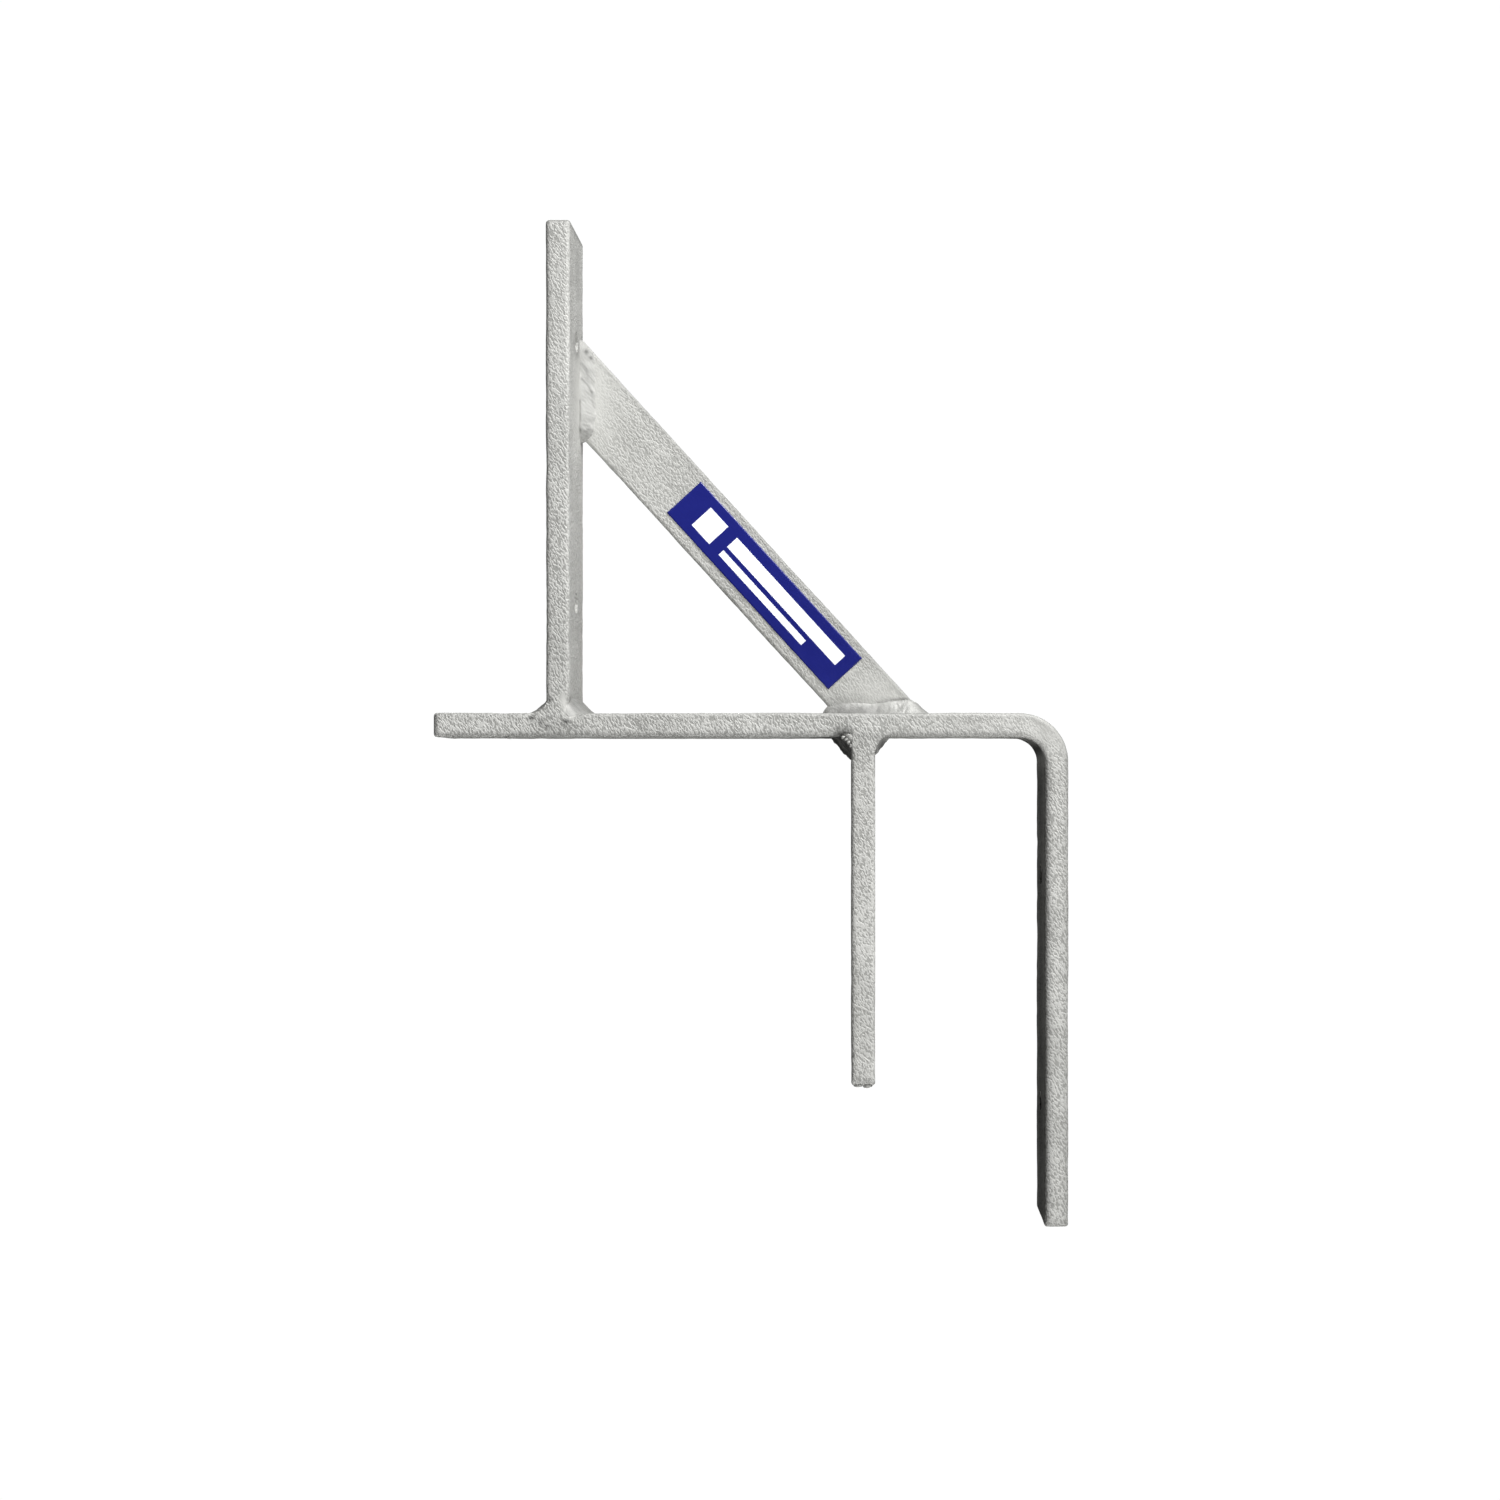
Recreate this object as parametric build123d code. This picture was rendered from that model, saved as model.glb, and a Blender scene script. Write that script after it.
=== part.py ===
from build123d import *
from build123d.topology import SkipClean
import math
import os

# Formwork bracket: a flat bar bent down at its right end into an outer leg, with an upright
# welded on its top, an inner leg welded under it and a slanted brace across the corner.
# X runs along the horizontal bar, Y across the bars' width, and Z is up.
# The origin is the middle of the seat between the two legs, on the underside of the bent bar.

# Driving dimensions in millimetres
BAR_WIDTH = 40.0
BAR_THICK = 10.0
OVERALL_LENGTH = 260.0
OUTER_LEG_DROP = 200.6
INNER_LEG_DROP = 142.8
SADDLE_GAP = 69.0
LEG_TO_UPRIGHT = 114.7
UPRIGHT_HEIGHT = 202.0
BEND_INNER_RADIUS = 10.0

# Rolled edges and clipped end corners of the bars
EDGE_ROUND = 1.8
END_CORNER = 3.5

# Bolt holes: their radius, and the heights of the pair in the upright and in the outer leg
HOLE_RADIUS = 4.25
UPRIGHT_HOLES = (56.5, 165.5)
LEG_HOLES = (-56.7, -151.5)

# Brace: its section, and where its lower edge meets the upright and the bent bar
BRACE_WIDTH = 28.2
BRACE_THICK = 6.0
BRACE_ROUND = 2.4
BRACE_RISE = 118.2
BRACE_REACH = 107.9

# Label on the front face of the brace
LABEL_LENGTH = 101.7
LABEL_WIDTH = 19.6
LABEL_THICK = 0.2
LABEL_CORNER = 1.2
LABEL_FROM_HEAD = 48.1
LABEL_FROM_LOWER_EDGE = 5.1

# Weld legs, each along the carrying bar and then along the piece that is welded to it
UPRIGHT_BEAD_LEFT = (8.5, 5.5)
UPRIGHT_BEAD_RIGHT = (6.2, 6.2)
LEG_BEAD_LEFT = (9.0, 9.5)
LEG_BEAD_RIGHT = (5.6, 6.6)
HEAD_BEAD = (5.2, 6.3)
FOOT_BEAD = (6.0, 6.5)

# How far the brace's two welds run past the brace, and how far the others stop inside the width
HEAD_BEAD_BELOW = 2.6
HEAD_BEAD_OVER = 1.0
FOOT_BEAD_PAST_LEFT = 5.8
FOOT_BEAD_PAST_RIGHT = 2.4
BEAD_END_INSET = 0.8

# How far the sloped ends of the foot weld lean in over its height
FOOT_BEAD_LEAN_LEFT = 2.8
FOOT_BEAD_LEAN_RIGHT = 9.0

# A weld's face is hollow by this share of its legs, and its metal goes this deep into a seam
BEAD_HOLLOW = 0.09
SEAM_DEPTH = 2.2

# A flat stretch that something bears on stops this far from a weld
FACE_CLEAR = 0.6

# Places worked out from the driving dimensions
BACK = BAR_WIDTH / 2
BAR_TOP = BAR_THICK
OUTER_LEG_IN = SADDLE_GAP / 2
OUTER_LEG_OUT = OUTER_LEG_IN + BAR_THICK
INNER_LEG_RIGHT = -SADDLE_GAP / 2
INNER_LEG_LEFT = INNER_LEG_RIGHT - BAR_THICK
UPRIGHT_RIGHT = INNER_LEG_LEFT - LEG_TO_UPRIGHT
UPRIGHT_LEFT = UPRIGHT_RIGHT - BAR_THICK
BAR_LEFT = OUTER_LEG_OUT - OVERALL_LENGTH
UPRIGHT_TOP = BAR_TOP + UPRIGHT_HEIGHT
BRACE_FRONT = BACK - BRACE_THICK
BRACE_SLANT = math.atan2(BRACE_RISE, BRACE_REACH)
BRACE_HEAD_LOW = BAR_TOP + BRACE_RISE
BRACE_HEAD_HIGH = BRACE_HEAD_LOW + BRACE_WIDTH / math.cos(BRACE_SLANT)
BRACE_FOOT_LEFT = UPRIGHT_RIGHT + BRACE_REACH
BRACE_FOOT_RIGHT = BRACE_FOOT_LEFT + BRACE_WIDTH / math.sin(BRACE_SLANT)


def near(value, target):
    """True when a measure of the model equals its target."""
    return abs(value - target) < 0.01


def round_free_end(bar, free_height, welded_height):
    """Clip the plan corners of an upright bar's free end, then round all but its welded end."""
    corners = [e for e in bar.edges().filter_by(Axis.X) if near(e.center().Z, free_height)]
    bar = fillet(corners, END_CORNER)
    wide_faces = bar.faces().filter_by(Axis.X)
    outline = [e for e in wide_faces.edges() if not near(e.center().Z, welded_height)]
    return fillet(outline, EDGE_ROUND)


def bolt_hole(x, z):
    """A round hole through an upright bar's thickness, on the middle of its width."""
    return Pos(x, 0, z) * Rot(0, 90, 0) * Cylinder(HOLE_RADIUS, 3 * BAR_THICK)


def split_faces(bar, *planes):
    """Divide the bar's faces along each plane, and keep it one solid."""
    with SkipClean():
        for plane in planes:
            first, *rest = split(bar, bisect_by=plane, keep=Keep.BOTH).solids()
            bar = first.fuse(*rest)
    return bar


def rolled_outline(bar):
    """Edges of the bent bar's narrow sides and free ends, without those across its thickness."""
    chosen = []
    for edge in bar.edges():
        middle = edge.center()
        box = edge.bounding_box()
        on_side = abs(middle.Y) > BAR_WIDTH / 2 - END_CORNER
        along_y = near(box.size.X, 0) and near(box.size.Z, 0)
        free_end = near(middle.X, BAR_LEFT) or near(middle.Z, -OUTER_LEG_DROP)
        across_left_end = near(box.size.Z, BAR_THICK) and middle.X < BAR_LEFT + 2 * END_CORNER
        across_leg_end = near(box.size.X, BAR_THICK) and middle.Z < 2 * END_CORNER - OUTER_LEG_DROP
        if (on_side and not along_y) or (along_y and free_end):
            if not across_left_end and not across_leg_end:
                chosen.append(edge)
    return chosen


def make_bent_bar():
    """The horizontal bar and the outer leg in one piece, with the bend between them."""
    bend_outer_radius = BEND_INNER_RADIUS + BAR_THICK
    bend_x = OUTER_LEG_OUT - bend_outer_radius
    bend_z = BAR_TOP - bend_outer_radius
    with BuildSketch(Plane.XZ) as side:
        with BuildLine():
            Line((BAR_LEFT, BAR_TOP), (bend_x, BAR_TOP))
            RadiusArc((bend_x, BAR_TOP), (OUTER_LEG_OUT, bend_z), bend_outer_radius)
            Line((OUTER_LEG_OUT, bend_z), (OUTER_LEG_OUT, -OUTER_LEG_DROP))
            Line((OUTER_LEG_OUT, -OUTER_LEG_DROP), (OUTER_LEG_IN, -OUTER_LEG_DROP))
            Line((OUTER_LEG_IN, -OUTER_LEG_DROP), (OUTER_LEG_IN, bend_z))
            RadiusArc((OUTER_LEG_IN, bend_z), (bend_x, 0), -BEND_INNER_RADIUS)
            Line((bend_x, 0), (BAR_LEFT, 0))
            Line((BAR_LEFT, 0), (BAR_LEFT, BAR_TOP))
        make_face()
    bar = extrude(side.sketch, amount=BAR_WIDTH / 2, both=True)
    corners = [e for e in bar.edges().filter_by(Axis.Z) if near(e.center().X, BAR_LEFT)]
    corners += [e for e in bar.edges().filter_by(Axis.X) if near(e.center().Z, -OUTER_LEG_DROP)]
    bar = fillet(corners, END_CORNER)
    bar = fillet(rolled_outline(bar), EDGE_ROUND)
    for height in LEG_HOLES:
        bar -= bolt_hole(OUTER_LEG_IN + BAR_THICK / 2, height)
    seat_start = Plane.YZ.offset(INNER_LEG_RIGHT + LEG_BEAD_RIGHT[0] + FACE_CLEAR)
    ledge_end = Plane.YZ.offset(UPRIGHT_LEFT - UPRIGHT_BEAD_LEFT[0] - FACE_CLEAR)
    return split_faces(bar.solid(), seat_start, ledge_end)


def make_upright_bar():
    """The bar that stands on the bent bar, with its two holes."""
    middle = UPRIGHT_LEFT + BAR_THICK / 2
    bar = Pos(middle, 0, BAR_TOP + UPRIGHT_HEIGHT / 2) * Box(BAR_THICK, BAR_WIDTH, UPRIGHT_HEIGHT)
    bar = round_free_end(bar, UPRIGHT_TOP, BAR_TOP)
    for height in UPRIGHT_HOLES:
        bar -= bolt_hole(middle, height)
    face_start = Plane.XY.offset(BAR_TOP + UPRIGHT_BEAD_LEFT[1] + FACE_CLEAR)
    return split_faces(bar.solid(), face_start)


def make_inner_leg():
    """The bar that hangs under the bent bar, across the seat from the outer leg."""
    middle = INNER_LEG_LEFT + BAR_THICK / 2
    bar = Pos(middle, 0, -INNER_LEG_DROP / 2) * Box(BAR_THICK, BAR_WIDTH, INNER_LEG_DROP)
    return round_free_end(bar, -INNER_LEG_DROP, 0).solid()


def on_brace(shape):
    """Place a shape drawn level, X along the brace's lower back edge, onto the slanted brace."""
    return Pos(UPRIGHT_RIGHT, BACK, BRACE_HEAD_LOW) * Rot(0, math.degrees(BRACE_SLANT), 0) * shape


def make_diagonal_brace():
    """The slanted bar, cut to stand on the bent bar and against the upright, flush at the back."""
    longer = BRACE_RISE + BRACE_REACH
    strip = Box(2 * longer, BRACE_THICK, BRACE_WIDTH, align=(Align.CENTER, Align.MAX, Align.MIN))
    strip = on_brace(fillet(strip.edges().filter_by(Axis.X), BRACE_ROUND))
    corner = Box(longer, 2 * BAR_WIDTH, longer, align=(Align.MIN, Align.CENTER, Align.MIN))
    return (strip & (Pos(UPRIGHT_RIGHT, 0, BAR_TOP) * corner)).solid()


def make_label():
    """A thin sticker with rounded corners, lying along the brace's front face."""
    sticker = extrude(RectangleRounded(LABEL_LENGTH, LABEL_WIDTH, LABEL_CORNER), LABEL_THICK)
    along = LABEL_FROM_HEAD + LABEL_LENGTH / 2
    across = LABEL_FROM_LOWER_EDGE + LABEL_WIDTH / 2
    return on_brace(Pos(along, -BRACE_THICK, across) * Rot(90, 0, 0) * sticker).solid()


def fillet_weld(plane, root, reach, start, stop, *neighbours):
    """A weld in a corner: a section with a hollow face, carried along the plane's normal.

    The root is the corner's place in the plane, and reach is how far the weld goes along the
    plane's two directions. The metal passes the root into the seam, and is then cut back to
    the pieces that it joins, so it fills the notch at their rounded edges.
    """
    root_u, root_v = root
    reach_u, reach_v = reach
    deep_u = root_u - math.copysign(SEAM_DEPTH, reach_u)
    deep_v = root_v - math.copysign(SEAM_DEPTH, reach_v)
    share = 0.5 - BEAD_HOLLOW
    toe_u = (root_u + reach_u, root_v)
    toe_v = (root_u, root_v + reach_v)
    hollow = (root_u + share * reach_u, root_v + share * reach_v)
    with BuildSketch(plane) as section:
        with BuildLine():
            ThreePointArc(toe_u, hollow, toe_v)
            Polyline(toe_v, (deep_u, toe_v[1]), (deep_u, deep_v), (toe_u[0], deep_v), toe_u)
        make_face()
    along = plane.z_dir
    weld = extrude(section.sketch, amount=stop - start)
    weld = Pos(along * start) * weld
    for piece in neighbours:
        weld -= piece
    return weld.solid()


def sloped_ends(left, right, lean_left, lean_right):
    """The space between a weld's two ends, which lean in from the bar's top to the weld's toe."""
    below = BAR_TOP - BAR_THICK
    toe = BAR_TOP + FOOT_BEAD[1]
    with BuildSketch(Plane.XZ) as outline:
        with BuildLine():
            Polyline((left, below), (left, BAR_TOP), (left + lean_left, toe), (right - lean_right, toe))
            Polyline((right - lean_right, toe), (right, BAR_TOP), (right, below), (left, below))
        make_face()
    return extrude(outline.sketch, amount=BAR_WIDTH, both=True)


def under_brace_edge():
    """The space below a line just over the brace's upper edge, where the head weld stops."""
    longer = BRACE_RISE + BRACE_REACH
    block = Box(2 * longer, 2 * BAR_WIDTH, longer, align=(Align.CENTER, Align.CENTER, Align.MAX))
    return on_brace(Pos(0, 0, BRACE_WIDTH + HEAD_BEAD_OVER) * block)


def tee_weld(root_x, root_z, reach, *neighbours):
    """The weld on one side of a bar that stands on or hangs from the bent bar."""
    half = BAR_WIDTH / 2 - BEAD_END_INSET
    return fillet_weld(Plane.XZ, (root_x, root_z), reach, -half, half, *neighbours)


def seam_plug(left, side, root_z, up, bent_bar):
    """Weld metal between the bent bar's rounded edge and the end of a bar that meets it."""
    length = BAR_THICK - 2 * SEAM_DEPTH
    align = (Align.MIN, Align.MAX if side > 0 else Align.MIN, Align.MAX if up > 0 else Align.MIN)
    block = Box(length, SEAM_DEPTH, SEAM_DEPTH, align=align)
    plug = Pos(left + SEAM_DEPTH, side * BAR_WIDTH / 2, root_z) * block - bent_bar
    return plug.solid()


bent_bar = make_bent_bar()
upright_bar = make_upright_bar()
inner_leg = make_inner_leg()
diagonal_brace = make_diagonal_brace()

parts = {
    "bent_bar": bent_bar,
    "upright_bar": upright_bar,
    "inner_leg": inner_leg,
    "diagonal_brace": diagonal_brace,
    "brace_label": make_label(),
}

# Welds along both sides of the upright's foot
standing = (bent_bar, upright_bar)
left_reach = (-UPRIGHT_BEAD_LEFT[0], UPRIGHT_BEAD_LEFT[1])
parts["upright_weld_left"] = tee_weld(UPRIGHT_LEFT, BAR_TOP, left_reach, *standing)
parts["upright_weld_right"] = tee_weld(UPRIGHT_RIGHT, BAR_TOP, UPRIGHT_BEAD_RIGHT, *standing)

# Welds along both sides of the inner leg's head
hanging = (bent_bar, inner_leg)
left_reach = (-LEG_BEAD_LEFT[0], -LEG_BEAD_LEFT[1])
right_reach = (LEG_BEAD_RIGHT[0], -LEG_BEAD_RIGHT[1])
parts["inner_leg_weld_left"] = tee_weld(INNER_LEG_LEFT, 0, left_reach, *hanging)
parts["inner_leg_weld_right"] = tee_weld(INNER_LEG_RIGHT, 0, right_reach, *hanging)

# Flush weld metal at the front and back of both joints
for name, side in (("front", -1), ("back", 1)):
    parts[f"upright_weld_{name}"] = seam_plug(UPRIGHT_LEFT, side, BAR_TOP, 1, bent_bar)
    parts[f"inner_leg_weld_{name}"] = seam_plug(INNER_LEG_LEFT, side, 0, -1, bent_bar)

# Weld up the corner between the upright and the brace's front face
head_weld = fillet_weld(
    Plane.XY,
    (UPRIGHT_RIGHT, BRACE_FRONT),
    (HEAD_BEAD[1], -HEAD_BEAD[0]),
    BRACE_HEAD_LOW - HEAD_BEAD_BELOW,
    BRACE_HEAD_HIGH,
    upright_bar,
    diagonal_brace,
)
parts["brace_head_weld"] = (head_weld & under_brace_edge()).solid()

# Weld along the corner between the bent bar's top and the brace's front face
foot_left = BRACE_FOOT_LEFT - FOOT_BEAD_PAST_LEFT
foot_right = BRACE_FOOT_RIGHT + FOOT_BEAD_PAST_RIGHT
foot_weld = fillet_weld(
    Plane.YZ,
    (BRACE_FRONT, BAR_TOP),
    (-FOOT_BEAD[0], FOOT_BEAD[1]),
    foot_left,
    foot_right,
    bent_bar,
    diagonal_brace,
)
foot_ends = sloped_ends(foot_left, foot_right, FOOT_BEAD_LEAN_LEFT, FOOT_BEAD_LEAN_RIGHT)
parts["brace_foot_weld"] = (foot_weld & foot_ends).solid()

os.makedirs("parts", exist_ok=True)
for name, solid in parts.items():
    export_step(solid, f"parts/{name}.step")
    print(name, round(solid.volume, 1))
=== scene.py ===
"""Formwork bracket of galvanised flat bar: its bars, welds and sticker, dressed round the frame.

Lengths are millimetres until a mesh is made. X runs along the horizontal bar, Y across the
bars' width away from the camera, and Z is up, as in the frame.
"""

import logging
import math
from dataclasses import dataclass, field
from enum import Enum
from typing import Iterable, Sequence

import bmesh
import bpy
import numpy as np
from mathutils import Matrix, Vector
from numpy.typing import NDArray


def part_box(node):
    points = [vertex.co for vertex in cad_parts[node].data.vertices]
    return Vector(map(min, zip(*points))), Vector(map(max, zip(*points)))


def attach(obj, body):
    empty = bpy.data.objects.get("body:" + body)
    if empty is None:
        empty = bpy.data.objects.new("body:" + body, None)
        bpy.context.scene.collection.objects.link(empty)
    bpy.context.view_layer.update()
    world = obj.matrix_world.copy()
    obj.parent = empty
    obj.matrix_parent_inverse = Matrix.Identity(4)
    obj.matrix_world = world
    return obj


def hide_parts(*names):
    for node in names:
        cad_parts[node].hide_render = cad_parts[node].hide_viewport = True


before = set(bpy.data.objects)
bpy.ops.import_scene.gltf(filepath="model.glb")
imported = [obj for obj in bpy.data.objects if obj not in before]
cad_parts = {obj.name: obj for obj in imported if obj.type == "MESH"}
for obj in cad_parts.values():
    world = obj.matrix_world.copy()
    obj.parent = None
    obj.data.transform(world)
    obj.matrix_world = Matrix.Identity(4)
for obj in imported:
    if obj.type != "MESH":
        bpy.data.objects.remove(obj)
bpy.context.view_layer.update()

MM = 0.001
BODY = "root"
SENSOR_WIDTH = 36.0
WHITE = (1.0, 1.0, 1.0, 1.0)
LOG = logging.getLogger("bracket")

Array = NDArray[np.float64]
X_AXIS = np.array([1.0, 0.0, 0.0])
Y_AXIS = np.array([0.0, 1.0, 0.0])
Z_AXIS = np.array([0.0, 0.0, 1.0])


class Side(Enum):
    """The object's two faces across the bars' width, with their signs along Y."""

    FRONT = -1.0
    BACK = 1.0


class Slot(Enum):
    """Names for the finishes, one for each kind of piece; nothing reads them."""

    BAR = "galvanised_bar"
    BRACE = "galvanised_brace"
    WELD = "weld_bead"
    PRINT = "printed_label"


# Measures read from the frame


def node_box(node: str) -> tuple[Array, Array]:
    """Give a frame node's lowest and highest corners.

    Args:
        node: The node's name.

    Returns:
        Both corners in millimetres.
    """
    low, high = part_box(node)
    return np.array(low) / MM, np.array(high) / MM


BAR_LOW, BAR_HIGH = node_box("bent_bar")
UPRIGHT_LOW, UPRIGHT_HIGH = node_box("upright_bar")
LEG_LOW, LEG_HIGH = node_box("inner_leg")
BRACE_LOW, BRACE_HIGH = node_box("diagonal_brace")
BAR_THICK = float(LEG_HIGH[0] - LEG_LOW[0])
BAR_WIDTH = float(BAR_HIGH[1] - BAR_LOW[1])
BAR_TOP = float(BAR_HIGH[2])
FRONT = float(BAR_LOW[1])

# Forms of the bars that a box can't tell
EDGE_ROUND = 1.8
END_CORNER = 3.5
BEND_MIDDLE_RADIUS = 15.0
HOLE_RADIUS = 4.25
UPRIGHT_HOLES = (56.5, 165.5)
LEG_HOLES = (-56.7, -151.5)
BRACE_WIDTH = 28.2
BRACE_ROUND = 1.4
JOINT_DEPTH = 0.6

# How far apart the rows of points lie where a form is fine, and along a bead
FINE_SPACING = 0.4
BEAD_SPACING = 0.33

# How close two points are sewn into one, and how short an edge is dissolved
SEW_GAP = 0.002
SHORTEST_EDGE = 0.0005

# How coarse the zinc is on each kind of piece, from 0 to 1, and how wide the bars' own
# coarseness blends into a bead's along their edges
BAR_GRAIN = 0.8
BRACE_GRAIN = 0.55
BEAD_GRAIN = 0.35
CRUMB_GRAIN = 0.3
EDGE_BLEND = 1.6


# Surfaces


def soft_noise(points: Array, wavelength: float, seed: int, waves: int = 30) -> Array:
    """Give smooth noise of about unit height.

    The noise is a sum of plane waves of nearly one wavelength, in random directions, divided
    by the root of half their number.

    Args:
        points: Places, with the last axis of length three.
        wavelength: Typical distance from crest to crest.
        seed: Picks the directions and phases.
        waves: How many plane waves are added.

    Returns:
        One height for each place.
    """
    random = np.random.default_rng(seed)
    directions = random.normal(size=(waves, 3))
    directions /= np.linalg.norm(directions, axis=1, keepdims=True)
    lengths = wavelength * random.uniform(0.7, 1.5, waves)
    phases = random.uniform(0.0, 2.0 * np.pi, waves)
    angles = points @ (directions * (2.0 * np.pi / lengths)[:, None]).T + phases
    return np.sin(angles).sum(axis=-1) / math.sqrt(waves / 2.0)


def smooth_step(share: Array) -> Array:
    """Ease a share from 0 to 1 with level ends: three squares less two cubes."""
    held = np.clip(share, 0.0, 1.0)
    return held * held * (3.0 - 2.0 * held)


def quarter_round(gap: Array, radius: Array | float) -> Array:
    """Give how far a rounded edge falls back.

    It is the radius less the height of a circle of that radius above the place.

    Args:
        gap: Each place's gap from the end that is rounded off.
        radius: The rounding's radius, one or one for each place.

    Returns:
        How far the surface falls back at each place.
    """
    reach = np.clip(radius - gap, 0.0, radius)
    return radius - np.sqrt(radius * radius - reach * reach)


def through_knots(places: Array, knots: Array, reach: float = 1.2) -> Array:
    """Give values along straight lines between knots, with the corners eased.

    Each value is a weighted mean of the straight lines over a window whose weight is one plus
    a cosine. The window shrinks towards both ends, so the end values are kept.

    Args:
        places: Where values are wanted.
        knots: Rows of a place and its values, in order of place.
        reach: Half the window's width.

    Returns:
        One row of values for each place.
    """
    share = np.linspace(-1.0, 1.0, 11)
    weight = 1.0 + np.cos(np.pi * share)
    half = np.minimum(reach, np.minimum(places - knots[0, 0], knots[-1, 0] - places))
    spots = places[:, None] + np.clip(half, 0.0, None)[:, None] * share
    columns = [np.interp(spots, knots[:, 0], column) @ weight for column in knots.T[1:]]
    return np.stack(columns, axis=1) / weight.sum()


@dataclass(frozen=True)
class Spot:
    """A soft round place: its middle, how far it spreads each way and how strong it is."""

    place: tuple[float, float, float]
    spread: tuple[float, float, float]
    amount: float

    def at(self, points: Array) -> Array:
        """Give the spot's strength at each point: a bell curve of the distance in spreads."""
        gaps = (points - np.array(self.place)) / np.array(self.spread)
        return self.amount * np.exp(-0.5 * (gaps * gaps).sum(axis=-1))


@dataclass(frozen=True)
class Streak:
    """A soft line through a row of corners: how wide it is and how strong."""

    corners: Sequence[tuple[float, float, float]]
    width: float
    amount: float

    def at(self, points: Array) -> Array:
        """Give the line's strength: a bell curve of the gap to its nearest stretch.

        The gap is to the foot of the perpendicular, held between the stretch's two corners.

        Args:
            points: Places, with the last axis of length three.

        Returns:
            One strength for each place.
        """
        corners = np.array(self.corners)
        nearest = np.full(points.shape[:-1], np.inf)
        for first, last in zip(corners, corners[1:]):
            run = last - first
            share = np.clip((points - first) @ run / (run @ run), 0.0, 1.0)
            gap = np.linalg.norm(points - first - share[..., None] * run, axis=-1)
            nearest = np.minimum(nearest, gap)
        return self.amount * np.exp(-0.5 * (nearest / self.width) ** 2)


# Hollows that are washed into the bars' front faces beside the welds
HOLLOWS = (
    Spot((-49.2, FRONT, 0.9), (1.9, 2.5, 1.5), 1.5),
    Spot((-46.4, FRONT, 1.4), (1.6, 2.5, 1.2), 1.3),
    Spot((-157.6, FRONT, 9.8), (1.4, 2.5, 1.1), 0.9),
    Spot((-160.0, FRONT, 14.8), (1.0, 2.2, 1.6), 0.8),
    Spot((-158.9, FRONT, 11.6), (1.3, 2.2, 1.9), 1.3),
)


@dataclass(frozen=True)
class Skin:
    """A rolled skin: heights and lengths of its waves, and how far it lies under the ideal face."""

    waves: Sequence[tuple[float, float]]
    drop: float
    least: float
    seed: int

    def at(self, points: Array) -> Array:
        """Give the skin's height: the waves' sum less the drop, held under nothing.

        The hold keeps each bar inside its frame.

        Args:
            points: Places on the ideal surface.

        Returns:
            One height for each place.
        """
        pairs = enumerate(self.waves)
        total = sum(high * soft_noise(points, length, self.seed + i) for i, (high, length) in pairs)
        return np.minimum(total - self.drop, -self.least)


BAR_SKIN = Skin(((0.07, 70.0), (0.05, 17.0), (0.03, 5.0)), drop=0.16, least=0.03, seed=11)
BRACE_SKIN = Skin(((0.06, 60.0), (0.04, 16.0), (0.025, 5.0)), drop=0.14, least=0.01, seed=31)


def bar_relief(points: Array, fade: Array | float = 1.0) -> Array:
    """Give how far the bars' skin stands under its ideal surface, less the hollows.

    Args:
        points: Places on the ideal surface.
        fade: What is left of the waves near a free end.

    Returns:
        One height for each place, nothing or less.
    """
    return BAR_SKIN.at(points) * fade - sum(hollow.at(points) for hollow in HOLLOWS)


@dataclass
class Patchwork:
    """Grids of points and flat caps that are sewn into one closed mesh."""

    points: list[Array] = field(default_factory=list)
    faces: list[list[int]] = field(default_factory=list)
    count: int = 0

    def add_grid(self, grid: Array) -> None:
        """Add a grid of quads.

        Args:
            grid: Places in rows and columns.
        """
        rows, columns = grid.shape[:2]
        index = np.arange(rows * columns).reshape(rows, columns) + self.count
        corners = [index[:-1, :-1], index[1:, :-1], index[1:, 1:], index[:-1, 1:]]
        self.faces += np.stack(corners, axis=-1).reshape(-1, 4).tolist()
        self.points.append(grid.reshape(-1, 3))
        self.count += rows * columns

    def add_cap(self, loop: Array) -> None:
        """Add one flat face.

        Args:
            loop: The places round it, in order.
        """
        self.faces.append(list(range(self.count, self.count + len(loop))))
        self.points.append(loop)
        self.count += len(loop)

    def build(self, name: str) -> bpy.types.Object:
        """Sew the grids where they meet and link the mesh to the scene.

        Args:
            name: The new object's name.

        Returns:
            The object, at the origin, with its faces outwards.
        """
        mesh = bpy.data.meshes.new(name)
        mesh.from_pydata((np.concatenate(self.points) * MM).tolist(), [], self.faces)
        sewn = bmesh.new()
        sewn.from_mesh(mesh)
        bmesh.ops.remove_doubles(sewn, verts=sewn.verts, dist=SEW_GAP * MM)
        bmesh.ops.dissolve_degenerate(sewn, edges=sewn.edges, dist=SHORTEST_EDGE * MM)
        bmesh.ops.recalc_face_normals(sewn, faces=sewn.faces)
        sewn.to_mesh(mesh)
        sewn.free()
        mesh.shade_smooth()
        made = bpy.data.objects.new(name, mesh)
        bpy.context.scene.collection.objects.link(made)
        return made


def bevel_sharp_edges(piece: bpy.types.Object, width: float) -> None:
    """Round the sharp edges of a piece, such as a hole's rims.

    Args:
        piece: The mesh object.
        width: The bevel's width in millimetres.
    """
    bevel = piece.modifiers.new("rims", "BEVEL")
    bevel.width = width * MM
    bevel.segments = 3
    bevel.limit_method = "ANGLE"
    bevel.angle_limit = math.radians(50.0)
    bevel.use_clamp_overlap = True


# Node trees


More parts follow.
